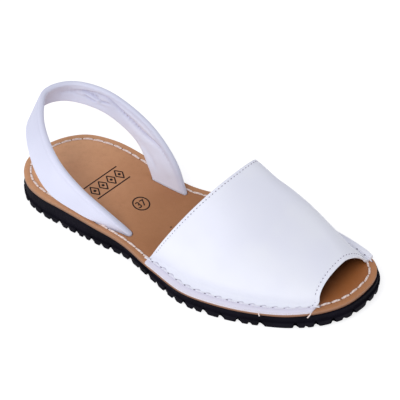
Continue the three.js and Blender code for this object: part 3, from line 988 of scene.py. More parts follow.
def runAlong(grid, axis):
    steps = np.linalg.norm(np.diff(grid, axis=axis), axis=-1)
    zero = np.zeros_like(np.take(steps, [0], axis=axis))
    return np.concatenate([zero, np.cumsum(steps, axis=axis)], axis=axis)


def trough(distance, halfWidth):
    return np.exp(-(distance / halfWidth) ** 2)


# soft trough or ridge along a line of points on a surface, fading at both ends
def crease(grid, line, halfWidth, depth):
    line = np.asarray(line, float)
    flat = grid.reshape(-1, 3)
    best = np.full(len(flat), np.inf)
    fade = np.zeros(len(flat))
    count = len(line)
    for index in range(count):
        gap = np.linalg.norm(flat - line[index], axis=1)
        nearer = gap < best
        best = np.where(nearer, gap, best)
        fade = np.where(nearer, math.sin(math.pi * (index + 0.5) / count) ** 0.7, fade)
    return (depth * fade * trough(best, halfWidth)).reshape(grid.shape[:2])


# creases of the vamp: from and to as (share from throat to toe, share across from the lateral side)
vampCreases = [
    {"from": (0.05, 0.62), "to": (0.55, 0.66), "halfWidth": 9.0, "depth": 0.45},
    {"from": (0.02, 0.40), "to": (0.60, 0.36), "halfWidth": 11.0, "depth": 0.35},
    {"from": (0.55, 0.30), "to": (0.98, 0.34), "halfWidth": 8.0, "depth": -0.25},
    {"from": (0.70, 0.72), "to": (0.97, 0.80), "halfWidth": 3.5, "depth": -0.35},
    {"from": (0.80, 0.84), "to": (0.97, 0.88), "halfWidth": 2.2, "depth": 0.35},
    {"from": (0.05, 0.12), "to": (0.90, 0.13), "halfWidth": 4.0, "depth": -0.3},
]


def surfaceLine(grid, start, end, count=24):
    rows, columns = grid.shape[:2]
    share = np.linspace(0, 1, count)
    row = np.clip(np.round(lerp(start[0], end[0], share) * (rows - 1)).astype(int), 0, rows - 1)
    column = np.clip(np.round(lerp(start[1], end[1], share) * (columns - 1)).astype(int), 0, columns - 1)
    return grid[row, column]


def buildVamp():
    v = vamp
    ats = vampRows()
    grid = np.array([vampRow(at) for at in ats])
    normal = gridNormals(grid)
    throat, toe = runAlong(grid, 0), runAlong(grid[::-1], 0)[::-1]
    lateral, medial = runAlong(grid, 1), runAlong(grid[:, ::-1], 1)[:, ::-1]
    flangeEdge = np.minimum(lateral, medial)
    endEdge = np.minimum(throat, toe)
    shares = [tableValue(vampTable, "at", name, ats)[:, None] for name in ("latFlange", "medFlange")]
    over = np.where(lateral < medial, flangeOver(ats, -1)[:, None], v["medialOver"])
    width = v["flangeWidth"] * np.where(lateral < medial, shares[0], shares[1]) + over
    stitchAt = np.minimum(v["stitchInset"], width - v["flangeBend"] - 0.4)
    scallop = v["scallopMiddle"] - v["scallopSwing"] * np.cos(2 * math.pi * throat / v["stitchPitch"])
    fromStitch = flangeEdge - stitchAt
    relief = -v["stitchDepth"] * scallop * trough(fromStitch, v["stitchHalfWidth"])
    relief += v["puff"] * trough(fromStitch + v["puffInside"], v["puffHalfWidth"]) * (1.3 - scallop)
    seam = np.where(throat < toe, v["throatSeam"], v["toeSeam"])
    relief -= v["seamDepth"] * trough(endEdge - seam, v["seamHalfWidth"])
    for item in vampCreases:
        relief += crease(grid, surfaceLine(grid, item["from"], item["to"]), item["halfWidth"], item["depth"])
    droop = np.where(lateral < medial, v["lateralDroop"], v["medialDroop"])
    relief -= droop * (1 - smoothstep(0, v["droopReach"], flangeEdge))
    edge = np.minimum(flangeEdge, endEdge)
    surface = grid + normal * relief[..., None]
    thick = lerp(v["flangeThick"], v["leather"], smoothstep(width - v["flangeBend"], width + 3, flangeEdge))
    thick = thick - v["skived"] * (1 - smoothstep(0, v["skivedReach"], flangeEdge))
    outer = surface - normal * roundedEdge(edge, v["edgeRadius"])[..., None]
    inner = surface - normal * (thick - roundedEdge(edge, 0.3))[..., None]
    flat = np.stack([lateral, throat], -1).reshape(-1, 2) / 1000
    cut = 1 - smoothstep(0.0, 0.35, edge)
    # painted shade on the flange: its strength on each side
    tint = np.where(lateral < medial, v["lateralFlangeShade"], v["medialFlangeShade"])
    marks = {"cutEdge": cut, "fromStitch": fromStitch, "alongFlange": throat, "paintedFlangeShade": tint}
    leather = shell("vampLeather", outer, inner, flat, marks, materials["white"])
    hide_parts("vamp")

    # lining under the leather, cut back a little from every edge
    back = (slice(4, -4), slice(14, -14))
    liningOuter = (surface - normal * (thick + 0.03)[..., None])[back]
    liningInner = (surface - normal * np.maximum(thick + 0.08, v["thickness"] - 0.02)[..., None])[back]
    flat = np.stack([lateral, throat], -1)[back].reshape(-1, 2) / 1000
    shell("vampLining", liningOuter, liningInner, flat, {}, materials["lining"])
    print("vamp", grid.shape)
    return {
        "grid": surface,
        "normal": normal,
        "throat": throat,
        "toe": toe,
        "lateral": lateral,
        "medial": medial,
        "stitchAt": stitchAt,
    }


def shell(name, outer, inner, flat, marks, material):
    rows, columns = outer.shape[:2]
    size = rows * columns
    points = np.vstack([outer.reshape(-1, 3), inner.reshape(-1, 3)])
    faces = gridFaces(rows, columns) + gridFaces(rows, columns, start=size)
    rim = list(range(columns))
    rim += [row * columns + columns - 1 for row in range(1, rows)]
    rim += [(rows - 1) * columns + column for column in range(columns - 2, -1, -1)]
    rim += [row * columns for row in range(rows - 2, 0, -1)]
    for first, second in zip(rim, rim[1:] + rim[:1]):
        faces.append([first, second, second + size, first + size])
    stored = {key: np.concatenate([values.ravel(), values.ravel()]) for key, values in marks.items()}
    return makePiece(name, points, faces, material, np.vstack([flat, flat]), stored, sharp=70)


strap = {
    "height": 52.5,
    "thin": 2.8,
    "roll": 4.6,
    "foot": 4.2,
    "camber": 0.9,
    "sections": 480,
    "faceSteps": 40,
    "endSteps": 12,
    "footBlend": 0.035,
    "medialFoot": 3.0,
    "medialFootShift": 0.5,
    "lateralFootShift": (1.2, -1.5, 0.0),
    "lateralShiftReach": 0.16,
    "foldAt": 0.93,
    "foldDepth": 0.22,
    "shadedDepth": 1.4,
    # painted light on the inner face: its strength and where along the strap it comes in
    "paintedLight": 0.75,
    "paintedLightBetween": (0.68, 0.8),
}
strapTable = table(
    "lowX lowY lowRise topX topY topRise",
    (0.274, -0.402, 0.00, 0.377, -0.380, 0.00),
    (0.222, -0.458, 0.10, 0.322, -0.405, 0.19),
    (0.162, -0.465, 0.20, 0.248, -0.425, 0.44),
    (0.108, -0.385, 0.35, 0.172, -0.365, 0.69),
    (0.056, -0.230, 0.60, 0.098, -0.140, 0.84),
    (0.028, -0.050, 0.68, 0.062, 0.045, 0.93),
    (0.028, 0.200, 0.71, 0.043, 0.230, 0.98),
    (0.064, 0.385, 0.665, 0.082, 0.440, 0.95),
    (0.156, 0.475, 0.56, 0.168, 0.509, 0.89),
    (0.232, 0.461, 0.425, 0.268, 0.488, 0.745),
    (0.279, 0.425, 0.29, 0.341, 0.445, 0.56),
    (0.312, 0.356, 0.14, 0.404, 0.371, 0.30),
    (0.335, 0.302, 0.00, 0.440, 0.285, 0.00),
)


def strapEdge(side):
    x = strapTable[side + "X"] * shoe["length"]
    z = insoleTop(x) + shoe["gap"] + strapTable[side + "Rise"] * strap["height"]
    return smoothCurve(np.column_stack([x, strapTable[side + "Y"] * shoe["heelWidth"], z]), False)


lowEdge = strapEdge("low")
topEdge = strapEdge("top")


def unitVector(vector):
    return vector / np.linalg.norm(vector, axis=-1, keepdims=True)


# lower edge, upper edge and outward direction of the strap at a share of its length
def strapFrame(share):
    low, top = lowEdge(share), topEdge(share)
    step = 1e-4
    along = unitVector(lowEdge(share + step) - lowEdge(share - step))
    along = unitVector(along + unitVector(topEdge(share + step) - topEdge(share - step)))
    return low, top, unitVector(np.cross(top - low, along))


def slitFrame(end, level):
    low, top, _ = strapFrame(float(end))
    low, top = low.copy(), top.copy()
    low[2], top[2] = level(low[0]), level(top[0])
    flat = (top - low) * np.array([1, 1, 0])
    out = unitVector(np.array([-flat[1], flat[0], 0]))
    return low, top, out * np.sign(out[1] * low[1])


# moves a section outwards at the medial foot, and towards edge and toe at the lateral one
def shiftOut(place, medial, lateral):
    low, top, out = place
    move = out * strap["medialFootShift"] * medial + np.array(strap["lateralFootShift"]) * lateral
    return low + move, top + move, out


# closed section: outer face upwards, over the roll, inner face downwards, round the lower edge
def strapRing(place, thin, roll, camber):
    low, top, out = place
    s = strap
    width = np.linalg.norm(top - low)
    unit = (top - low) / width

    def half(share):
        return (thin + (roll - thin) * share ** 2) / 2

    def point(share, away, extra=0.0):
        bow = 4 * camber * share * (1 - share)
        up = np.multiply.outer(width * share + extra, unit)
        return low + up + np.multiply.outer(bow + away * half(share), out)

    first, last = thin / 2 / width, 1 - roll / 2 / width
    shares = np.linspace(first, last, s["faceSteps"] + 1)
    turn = np.arange(1, s["endSteps"]) * math.pi / s["endSteps"]

    def end(share, way):
        share = np.full_like(turn, share)
        return point(share, way * np.cos(turn), way * half(share) * np.sin(turn))

    return np.vstack([point(shares, 1.0), end(last, 1), point(shares[::-1], -1.0), end(first, -1)])


# creases of the strap's inner face, through points of (share along from the lateral slit, share up the face)
strapCreases = [
    {"through": [(0.55, 0.54), (0.60, 0.60), (0.64, 0.76), (0.675, 0.83), (0.70, 0.72), (0.735, 0.58),
                 (0.785, 0.54), (0.82, 0.62), (0.85, 0.78), (0.885, 0.88), (0.93, 0.92)],
     "halfWidth": 1.5, "depth": -1.8},
    {"through": [(0.60, 0.60), (0.64, 0.76), (0.675, 0.83), (0.70, 0.72), (0.735, 0.58), (0.785, 0.54),
                 (0.82, 0.62), (0.85, 0.78), (0.885, 0.88)], "halfWidth": 0.6, "depth": -0.9},
    {"through": [(0.58, 0.90), (0.66, 0.98), (0.70, 0.90), (0.75, 0.82), (0.80, 0.82), (0.86, 0.96)],
     "halfWidth": 2.4, "depth": 0.8},
    {"through": [(0.70, 0.36), (0.75, 0.26), (0.80, 0.26), (0.84, 0.42), (0.87, 0.60)],
     "halfWidth": 2.6, "depth": 0.45},
    {"through": [(0.612, 0.70), (0.640, 0.60), (0.662, 0.62)], "halfWidth": 0.75, "depth": -1.5},
    {"through": [(0.622, 0.46), (0.640, 0.36), (0.658, 0.28)], "halfWidth": 0.75, "depth": -1.5},
    {"through": [(0.640, 0.64), (0.655, 0.50), (0.675, 0.46)], "halfWidth": 0.65, "depth": -1.4},
    {"through": [(0.662, 0.36), (0.675, 0.48), (0.692, 0.56)], "halfWidth": 0.75, "depth": -1.5},
    {"through": [(0.590, 0.58), (0.605, 0.44), (0.628, 0.36)], "halfWidth": 0.9, "depth": -0.45},
    {"through": [(0.652, 0.16), (0.668, 0.24), (0.690, 0.28)], "halfWidth": 0.9, "depth": -0.4},
    {"through": [(0.628, 0.56), (0.645, 0.44), (0.662, 0.40)], "halfWidth": 0.9, "depth": 0.6},
    {"through": [(0.842, 0.16), (0.88, 0.20), (0.92, 0.24), (0.955, 0.20)], "halfWidth": 1.3, "depth": -0.5},
    {"through": [(0.88, 0.50), (0.92, 0.60), (0.965, 0.66)], "halfWidth": 3.0, "depth": 0.4},
    {"through": [(0.42, 0.40), (0.47, 0.44), (0.53, 0.40)], "halfWidth": 1.2, "depth": -0.35},
]


def faceLine(face, through, count=50):
    place = smoothCurve(np.array(through), False)(np.linspace(0, 1, count))
    rows, columns = face.shape[:2]
    row = np.clip(place[:, 0] * (rows - 1), 0, rows - 1.001)
    column = np.clip(place[:, 1] * (columns - 1), 0, columns - 1.001)
    r, c = row.astype(int), column.astype(int)
    across, along = (column - c)[:, None], (row - r)[:, None]
    before = lerp(face[r, c], face[r, c + 1], across)
    return lerp(before, lerp(face[r + 1, c], face[r + 1, c + 1], across), along)


# levels at which the strap's feet have a section inside the insole
def footBottom(x):
    return insoleBottom(x) + 0.05


def insoleMiddle(x):
    return (insoleBottom(x) + insoleTop(x)) / 2


def buildStrap():
    s = strap
    shares = np.linspace(0, 1, s["sections"] + 1)
    rings = []
    for end, order in ((0, 1), (1, -1)):
        foot = [slitFrame(end, level) for level in (footBottom, insoleMiddle, insoleTop)]
        width = s["medialFoot"] if end else s["foot"]
        rings.append([strapRing(shiftOut(place, end, 1 - end), width, width, 0) for place in foot][::order])
    body = []
    for share in shares[1:-1]:
        away = math.sin(math.pi * share)
        low, top, out = strapFrame(share)
        end = 0 if share < 0.5 else 1
        blend = float(smoothstep(0, s["footBlend"], min(share, 1 - share)))
        out = unitVector(lerp(slitFrame(end, insoleTop)[2], out, blend))
        width = lerp(s["foot"], s["medialFoot"], float(smoothstep(0.9, 1, share)))
        thin, roll = lerp(width, s["thin"], away), lerp(width, s["roll"], away)
        nearLateral = 1 - float(smoothstep(0, s["lateralShiftReach"], share))
        place = shiftOut((low, top, out), float(smoothstep(0.93, 1, share)), nearLateral)
        body.append(strapRing(place, thin, roll, s["camber"] * away))
    grid = np.array(rings[0] + body + rings[1])
    normal = -gridNormals(np.concatenate([grid, grid[:, :1]], 1))[:, :-1]
    steps = s["faceSteps"]
    inner = slice(steps + s["endSteps"], 2 * steps + s["endSteps"] + 1)
    column = np.arange(grid.shape[1])
    middle = (2 * steps + 2 * s["endSteps"]) * 0.75
    mask = 1 - smoothstep(steps * 0.42, steps * 0.56, np.abs(column - middle + 2))
    innerFace = grid[2:-2, inner][:, ::-1]
    relief = np.zeros(grid.shape[:2])
    for item in strapCreases:
        relief += crease(grid, faceLine(innerFace, item["through"]), item["halfWidth"], item["depth"])
    relief *= mask
    # fold line just under the rolled edge on the outer face
    outerRise = np.clip(column / steps, 0, 1.3)
    fold = trough((outerRise - s["foldAt"]) * 12, 0.5) * (column <= steps + 2)
    run = np.concatenate([[0] * 3, shares[1:-1], [1] * 3])
    calm = smoothstep(0.03, 0.12, run) * (1 - smoothstep(0.9, 0.98, run))
    relief -= s["foldDepth"] * fold[None, :] * calm[:, None]
    grid = grid + normal * relief[..., None]
    rows, columns = grid.shape[:2]
    points = grid.reshape(-1, 3)
    faces = gridFaces(rows, columns, closed=True)
    faces += [list(range(columns))[::-1], [(rows - 1) * columns + index for index in range(columns)]]
    flat = np.stack([runAlong(grid, 1), runAlong(grid, 0)], -1).reshape(-1, 2) / 1000
    # painted light: where the inner face is laid paler, towards the medial foot
    paintedLight = mask[None, :] * smoothstep(*s["paintedLightBetween"], np.linspace(0, 1, rows))[:, None]
    stored = {
        "cutEdge": np.zeros(len(points)),
        "fromStitch": np.full(len(points), 50.0),
        "paintedLight": (s["paintedLight"] * paintedLight).ravel(),
        # painted shade: darker the deeper the surface is sunk by creases and the fold line
        "fold": np.clip(-relief / s["shadedDepth"], 0, 1).ravel(),
    }
    # the strap takes the darker copy of the white leather, as painted shade
    finish = materials["shadedStrapWhite"]
    piece = makePiece("strapLeather", points, faces, finish, flat, stored, sharp=70)
    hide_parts("heel_strap")
    print("strap", grid.shape)


insole = {
    "around": 900,
    "edgeRadius": 0.6,
    "pressed": 0.9,
    "stitchInset": 4.7,
    "footInset": 1.3,
    "footStation": 88.0,
    "footReach": 24.0,
    "stitchDepth": 0.45,
    "stitchHalfWidth": 1.1,
    "slitRadius": 0.4,
    "slitSteps": 14,
    "grid": 2.0,
    "edgeRings": (0.08, 0.22, 0.4, 0.62),
    "grooveRings": (-1.2, -0.7, -0.3, 0, 0.3, 0.7, 1.2),
    "slitRings": (0.1, 0.22, 0.42),
}


def slitLoop(end, grow):
    low, top, _ = shiftOut(slitFrame(end, insoleTop), end, 1 - end)
    low, top = low[:2], top[:2]
    width = strap["medialFoot"] if end else strap["foot"]
    flat = unitVector(top - low)
    side = np.array([-flat[1], flat[0]])
    half = width / 2 + shoe["gap"] * (0.5 if end else 1.0) + grow
    turn = np.linspace(-math.pi / 2, math.pi / 2, insole["slitSteps"])
    loop = []
    for tip, way in ((top, 1), (low, -1)):
        centre = tip - way * flat * width / 2
        loop += [centre + way * half * (flat * math.cos(a) + side * math.sin(a)) for a in turn]
    straight = []
    for start, stop in zip(loop, loop[1:] + loop[:1]):
        pieces = max(1, round(np.linalg.norm(stop - start) / 1.2))
        straight += [lerp(start, stop, index / pieces) for index in range(pieces)]
    return np.array(straight)


# 1 where the vamp's flange presses on the insole's rim, 0 elsewhere
def underFlange(points):
    result = np.zeros(len(points))
    x = points[:, 0]
    for name, way in (("lateral", -1), ("medial", 1)):
        first, last = vampTable[name][[0, -1]] * shoe["length"]
        covered = smoothstep(first - 4, first + 2, x) * (1 - smoothstep(last - 2, last + 4, x))
        result = np.where(points[:, 1] * way > 0, covered, result)
    return result


# inset of the edge stitching, less beside the strap's lateral foot
def stitchInsetAt(points):
    n = insole
    beside = np.exp(-((points[:, 0] - n["footStation"]) / n["footReach"]) ** 2) * (points[:, 1] < 0)
    return n["stitchInset"] - n["footInset"] * beside


def insoleRelief(points):
    inset = insetOf(points)
    groove = trough(inset - stitchInsetAt(points), insole["stitchHalfWidth"])
    radius = insole["edgeRadius"] + insole["pressed"] * underFlange(points)
    drop = roundedEdge(np.maximum(inset, 0), radius) + insole["stitchDepth"] * groove
    slit = np.full(len(points), np.inf)
    for end in (0, 1):
        loop = slitLoop(end, 0)
        slit = np.minimum(slit, distanceTo(points, np.vstack([loop, loop[:1]])))
    drop += roundedEdge(slit, insole["slitRadius"])
    return inset, groove, slit, drop


# painted shade: 1 well under the vamp, where the insole lies in the vamp's shade, 0 in the open
def underVampShade(points):
    ends = []
    for row in (0, -1):
        lateral, medial = (vampTable[name][row] * shoe["length"] for name in ("lateral", "medial"))
        share = np.clip((points[:, 1] / shoe["ballWidth"]) + 0.5, 0, 1)
        ends.append(lerp(lateral, medial, share))
    return smoothstep(0, 10, points[:, 0] - ends[0]) * (1 - smoothstep(-12, 9, points[:, 0] - ends[1]))


def buildInsole():
    n = insole
    share = np.arange(n["around"]) / n["around"]
    loops = [outlineAt(share)] + [slitLoop(end, 0) for end in (0, 1)]
    rings = [outlineAt(share, np.full(n["around"], -inset)) for inset in n["edgeRings"]]
    for inset in n["grooveRings"]:
        every = share[::2]
        rings.append(outlineAt(every, -(stitchInsetAt(outlineAt(every)) + inset)))
    rings += [slitLoop(end, grow) for end in (0, 1) for grow in n["slitRings"]]
    grid = scatterInside(n["grid"], 1.6)
    off = np.abs(insetOf(grid) - stitchInsetAt(grid)) > 2.0
    scattered = np.vstack(rings + [grid[off]])
    clear = np.ones(len(scattered), bool)
    for end in (0, 1):
        loop = slitLoop(end, 0)
        gap = distanceTo(scattered, np.vstack([loop, loop[:1]]))
        clear &= (gap > 0.08) & ~insideLoop(scattered, loop)
    flat, triangles, order = fillLoops(loops, scattered[clear])
    inset, groove, slit, drop = insoleRelief(flat)
    top = np.column_stack([flat, insoleTop(flat[:, 0]) - drop])
    points = top
    faces = triangles.tolist()
    edge = 1 - smoothstep(0.0, 0.5, inset)
    # walls of the edge and of both slits, down to the lower face
    lowerFlat, lowerTriangles, lowerOrder = fillLoops(loops, lowerPoints(grid, loops))
    start = len(points)
    lower = np.column_stack([lowerFlat, insoleBottom(lowerFlat[:, 0])])
    points = np.vstack([points, lower])
    faces += (lowerTriangles[:, ::-1] + start).tolist()
    for upper, under in zip(order, lowerOrder):
        size = len(upper)
        for index in range(size):
            after = (index + 1) % size
            faces.append([upper[index], upper[after], start + under[after], start + under[index]])
    stored = {
        "edge": np.concatenate([edge, np.ones(len(lower))]),
        "groove": np.concatenate([groove, np.zeros(len(lower))]),
        # painted shadow: 1 at the slits' rims and walls
        "slit": np.concatenate([1 - smoothstep(0.05, 0.55, slit), np.ones(len(lower))]),
        "covered": np.concatenate([underVampShade(flat), np.zeros(len(lower))]),
        "rim": np.concatenate([1 - smoothstep(-0.8, 0.4, inset - stitchInsetAt(flat)), np.zeros(len(lower))]),
    }
    piece = makePiece("insoleLeather", points, faces, materials["tan"], None, stored, sharp=50)
    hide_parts("insole")
    print("insole", len(points), "points")


# sparse points for the lower face, clear of its edge and of the slits
def lowerPoints(grid, loops):
    some = grid[insetOf(grid) > 3][::6]
    clear = np.ones(len(some), bool)
    for loop in loops[1:]:
        closed = np.vstack([loop, loop[:1]])
        clear &= (distanceTo(some, closed) > 0.8) & ~insideLoop(some, loop)
    return some[clear]


# node tree that lays stitches, each with a dark disc after it as painted shade in its hole, along a path that
# carries an "up" direction
def makeStitchTree():
    tree = bpy.data.node_groups.new("stitchesAlongPath", "GeometryNodeTree")
    tree.is_modifier = True
    tree.interface.new_socket(name="Path", in_out="INPUT", socket_type="NodeSocketGeometry")
    lengths = ["Pitch", "Stitch Length", "Thread Width", "Rise", "Dip", "Hole Length", "Hole Width"]
    for name in lengths + ["Unevenness"]:
        tree.interface.new_socket(name=name, in_out="INPUT", socket_type="NodeSocketFloat")
    tree.interface.new_socket(name="Seed", in_out="INPUT", socket_type="NodeSocketInt")
    for name in ("Thread", "Hole"):
        tree.interface.new_socket(name=name, in_out="INPUT", socket_type="NodeSocketMaterial")
    tree.interface.new_socket(name="Stitches", in_out="OUTPUT", socket_type="NodeSocketGeometry")
    bench = Bench(tree)
    source = tree.nodes.new("NodeGroupInput")

    def given(name):
        return Wire(bench, next(s for s in source.outputs if s.name == name))

    def point(x, z):
        return bench.add("ShaderNodeCombineXYZ", None, {"X": x, "Z": z})

    path = bench.add("GeometryNodeMeshToCurve", None, {"Mesh": given("Path")})
    path = bench.add(
        "GeometryNodeResampleCurve", {"mode": "LENGTH"}, {"Curve": path, "Length": given("Pitch")},
    )
    halfLength = given("Stitch Length") * 0.5
    segment = bench.add(
        "GeometryNodeCurvePrimitiveBezierSegment", {"mode": "POSITION"},
        {
            "Resolution": 7,
            "Start": point(-halfLength, -given("Dip")),
            "Start Handle": point(halfLength * -0.82, given("Rise") * 1.3),
            "End Handle": point(halfLength * 0.82, given("Rise") * 1.3),
            "End": point(halfLength, -given("Dip")),
        },
    )
    run = bench.add("GeometryNodeSplineParameter", output="Length")
    segment = bench.add(
        "GeometryNodeStoreNamedAttribute", {"data_type": "FLOAT", "domain": "POINT"},
        {"Geometry": segment, "Name": "alongThread", "Value": run},
    )
    circle = bench.add(
        "GeometryNodeCurvePrimitiveCircle", {"mode": "RADIUS"},
        {"Resolution": 8, "Radius": given("Thread Width") * 0.5},
    )
    around = bench.add("GeometryNodeSplineParameter", output="Factor")
    circle = bench.add(
        "GeometryNodeStoreNamedAttribute", {"data_type": "FLOAT", "domain": "POINT"},
        {"Geometry": circle, "Name": "aroundThread", "Value": around},
    )
    stitch = bench.add(
        "GeometryNodeCurveToMesh", None, {"Curve": segment, "Profile Curve": circle, "Fill Caps": True},
    )
    stitch = bench.add("GeometryNodeSetMaterial", None, {"Geometry": stitch, "Material": given("Thread")})
    # painted shade: a flat dark disc at each hole
    hole = bench.add("GeometryNodeMeshIcoSphere", None, {"Radius": 1.0, "Subdivisions": 2})
    holeSize = bench.add(
        "ShaderNodeCombineXYZ", None,
        {"X": given("Hole Length") * 0.5, "Y": given("Hole Width") * 0.5, "Z": given("Hole Width") * 0.12},
    )
    hole = bench.add(
        "GeometryNodeTransform", None,
        {"Geometry": hole, "Translation": point(given("Pitch") * 0.5, 0.0), "Scale": holeSize},
    )
    hole = bench.add("GeometryNodeSetMaterial", None, {"Geometry": hole, "Material": given("Hole")})
    both = tree.nodes.new("GeometryNodeJoinGeometry")
    for part in (stitch, hole):
        tree.links.new(part.socket, both.inputs[0])
    tangent = bench.add("GeometryNodeInputTangent")
    up = bench.add("GeometryNodeInputNamedAttribute", {"data_type": "FLOAT_VECTOR"}, {"Name": "up"})
    turn = bench.add(
        "FunctionNodeAxesToRotation", {"primary_axis": "X", "secondary_axis": "Z"},
        {"Primary Axis": tangent, "Secondary Axis": up},
    )
    spread = given("Unevenness")
    wobble = bench.add(
        "FunctionNodeRandomValue", {"data_type": "FLOAT"}, {2: -spread, 3: spread, "Seed": given("Seed")}, 1,
    )
    lean = bench.add("ShaderNodeCombineXYZ", None, {"Z": wobble * 0.6})
    leaning = bench.add("FunctionNodeEulerToRotation", None, {"Euler": lean})
    turn = bench.add(
        "FunctionNodeRotateRotation", {"rotation_space": "LOCAL"}, {"Rotation": turn, "Rotate By": leaning},
    )
    size = bench.add(
        "ShaderNodeCombineXYZ", None, {"X": 1 + wobble, "Y": 1 - wobble * 0.8, "Z": 1 + wobble * 0.5},
    )
    laid = bench.add(
        "GeometryNodeInstanceOnPoints", None,
        {"Points": path, "Instance": Wire(bench, both.outputs[0]), "Rotation": turn, "Scale": size},
    )
    laid = bench.add("GeometryNodeRealizeInstances", None, {"Geometry": laid})
    output = tree.nodes.new("NodeGroupOutput")
    tree.links.new(laid.socket, output.inputs[0])
    return tree


stitchTree = makeStitchTree()


# a row of stitches along points with upward directions, as one plain mesh
def sewAlong(name, points, ups, sizes, threadMaterial, holeMaterial):
    mesh = bpy.data.meshes.new(name + "Path")
    chain = [(index, index + 1) for index in range(len(points) - 1)]
    mesh.from_pydata(toFrame(points).tolist(), chain, [])
    upward = mesh.attributes.new("up", "FLOAT_VECTOR", "POINT")
    upward.data.foreach_set("vector", np.asarray(ups, np.float32).ravel())
    carrier = bpy.data.objects.new(name + "Path", mesh)
    bpy.context.scene.collection.objects.link(carrier)
    modifier = carrier.modifiers.new("stitches", "NODES")
    modifier.node_group = stitchTree
    values = {key: value / 1000 for key, value in sizes.items() if key not in ("Unevenness", "Seed")}
    values["Unevenness"] = sizes["Unevenness"]
    values["Seed"] = sizes["Seed"]
    values["Thread"] = threadMaterial
    values["Hole"] = holeMaterial
    for item in stitchTree.interface.items_tree:
        if item.in_out == "INPUT" and item.name in values:
            modifier[item.identifier] = values[item.name]
    bpy.context.view_layer.update()
    evaluated = carrier.evaluated_get(bpy.context.evaluated_depsgraph_get())
    made = bpy.data.meshes.new_from_object(evaluated)
    made.name = name
    made.shade_smooth()
    made.set_sharp_from_angle(angle=math.radians(60))
    piece = bpy.data.objects.new(name, made)
    bpy.context.scene.collection.objects.link(piece)
    bpy.data.objects.remove(carrier)
    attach(piece, "root")
    print(name, len(made.polygons), "faces")


edgeThread = {
    "Pitch": 7.4, "Stitch Length": 6.8, "Thread Width": 1.5, "Rise": 0.4, "Dip": 0.8,
    "Hole Length": 1.0, "Hole Width": 0.9, "Unevenness": 0.08, "Seed": 3,
}
toeThread = {**edgeThread, "Pitch": 6.4, "Stitch Length": 5.8}
flangeThread = {
    "Pitch": 7.0, "Stitch Length": 5.6, "Thread Width": 1.0, "Rise": 0.26, "Dip": 0.6,
    "Hole Length": 1.4, "Hole Width": 0.75, "Unevenness": 0.06, "Seed": 5,
}
fineSeam = {
    "Pitch": 2.55, "Stitch Length": 1.65, "Thread Width": 0.4, "Rise": 0.1, "Dip": 0.2,
    "Hole Length": 0.85, "Hole Width": 0.62, "Unevenness": 0.08, "Seed": 9,
}


# part of the insole's stitch line between two shares of the outline
def insoleStitchPath(start, end):
    share = np.linspace(start, end, 400)
    flat = outlineAt(share, -stitchInsetAt(outlineAt(share)))
    z = insoleTop(flat[:, 0]) - insole["stitchDepth"] + 0.12
    return np.column_stack([flat, z]), np.tile([0.0, 0.0, 1.0], (len(share), 1))


def buildEdgeStitches(face):
    ends = {}
    for side, name in ((1, "medial"), (-1, "lateral")):
        for row, label in ((0, "throat"), (-1, "toe")):
            x = face["grid"][row, 0 if side < 0 else -1][0]
            ends[name, label] = float(outlineSide(x, side, vamp["flangeInset"])[1])
    room = 3.0 / outlineLength
    heel = insoleStitchPath(ends["lateral", "throat"] - 1 + room, ends["medial", "throat"] - room)
    toe = insoleStitchPath(ends["medial", "toe"] + room, ends["lateral", "toe"] - room)
    rows = (("heelEdgeThread", edgeThread, heel), ("toeEdgeThread", toeThread, toe))
    for name, sizes, (points, ups) in rows:
        sewAlong(name, points, ups, sizes, materials["thread"], materials["tanHoleShade"])


# line on the vamp's outer face: for each row, the point a given distance in from one flange edge
def flangePath(face, side):
    name, way = ("lateral", 1) if side < 0 else ("medial", -1)
    run, grid, normal = (face[part][:, ::way] for part in (name, "grid", "normal"))
    points, ups = [], []
    for row in range(4, len(grid) - 4):
        at = face["stitchAt"][row, 0 if side < 0 else -1]
        points.append([np.interp(at, run[row], grid[row, :, axis]) for axis in range(3)])
        ups.append([np.interp(at, run[row], normal[row, :, axis]) for axis in range(3)])
    return np.array(points), np.array(ups)


# line at a fixed distance from the throat or the toe edge, from flange to flange
def endPath(face, which, distance, inset):
    way = 1 if which == "throat" else -1
    run, grid, normal = (face[part][::way] for part in (which, "grid", "normal"))
    points, ups = [], []
    for column in range(grid.shape[1]):
        if min(face["lateral"][0, column], face["medial"][0, column]) < inset:
            continue
        points.append([np.interp(distance, run[:, column], grid[:, column, axis]) for axis in range(3)])
        ups.append([np.interp(distance, run[:, column], normal[:, column, axis]) for axis in range(3)])
    return np.array(points), np.array(ups)


def buildVampStitches(face):
    thread, hole = materials["whiteThread"], materials["hole"]
    for side, name in ((-1, "lateralFlangeThread"), (1, "medialFlangeThread")):
        points, ups = flangePath(face, side)
        sewAlong(name, points + ups * 0.1, ups, flangeThread, thread, hole)
    for which in ("throat", "toe"):
        points, ups = endPath(face, which, vamp[which + "Seam"], 2.5)
        sewAlong(which + "Seam", points, ups, fineSeam, thread, hole)


# a tail's path: how far out from the edge, down and sideways
tail = {
    "width": 0.75,
    "sides": 8,
    "steps": 14,
    "hang": ((0.15, 0.1, 0.0), (0.85, 0.45, 0.1), (1.25, 1.5, 0.4), (1.35, 3.2, 0.8), (1.3, 5.0, 1.2)),
}
# loose thread ends over the sole's edge: share along the length, lean along the edge in millimetres
threadTails = [{"along": 0.781, "lean": -0.5, "length": 0.4}, {"along": 0.896, "lean": 1.6, "length": 0.62}]


def tubePoints(line, width, sides):
    line = np.asarray(line, float)
    along = unitVector(np.gradient(line, axis=0))
    side = unitVector(np.cross(along, np.array([0.3, 0.2, 1.0])))
    other = np.cross(along, side)
    turn = np.linspace(0, 2 * math.pi, sides, endpoint=False)
    ring = np.cos(turn)[None, :, None] * side[:, None] + np.sin(turn)[None, :, None] * other[:, None]
    return line[:, None] + ring * width / 2


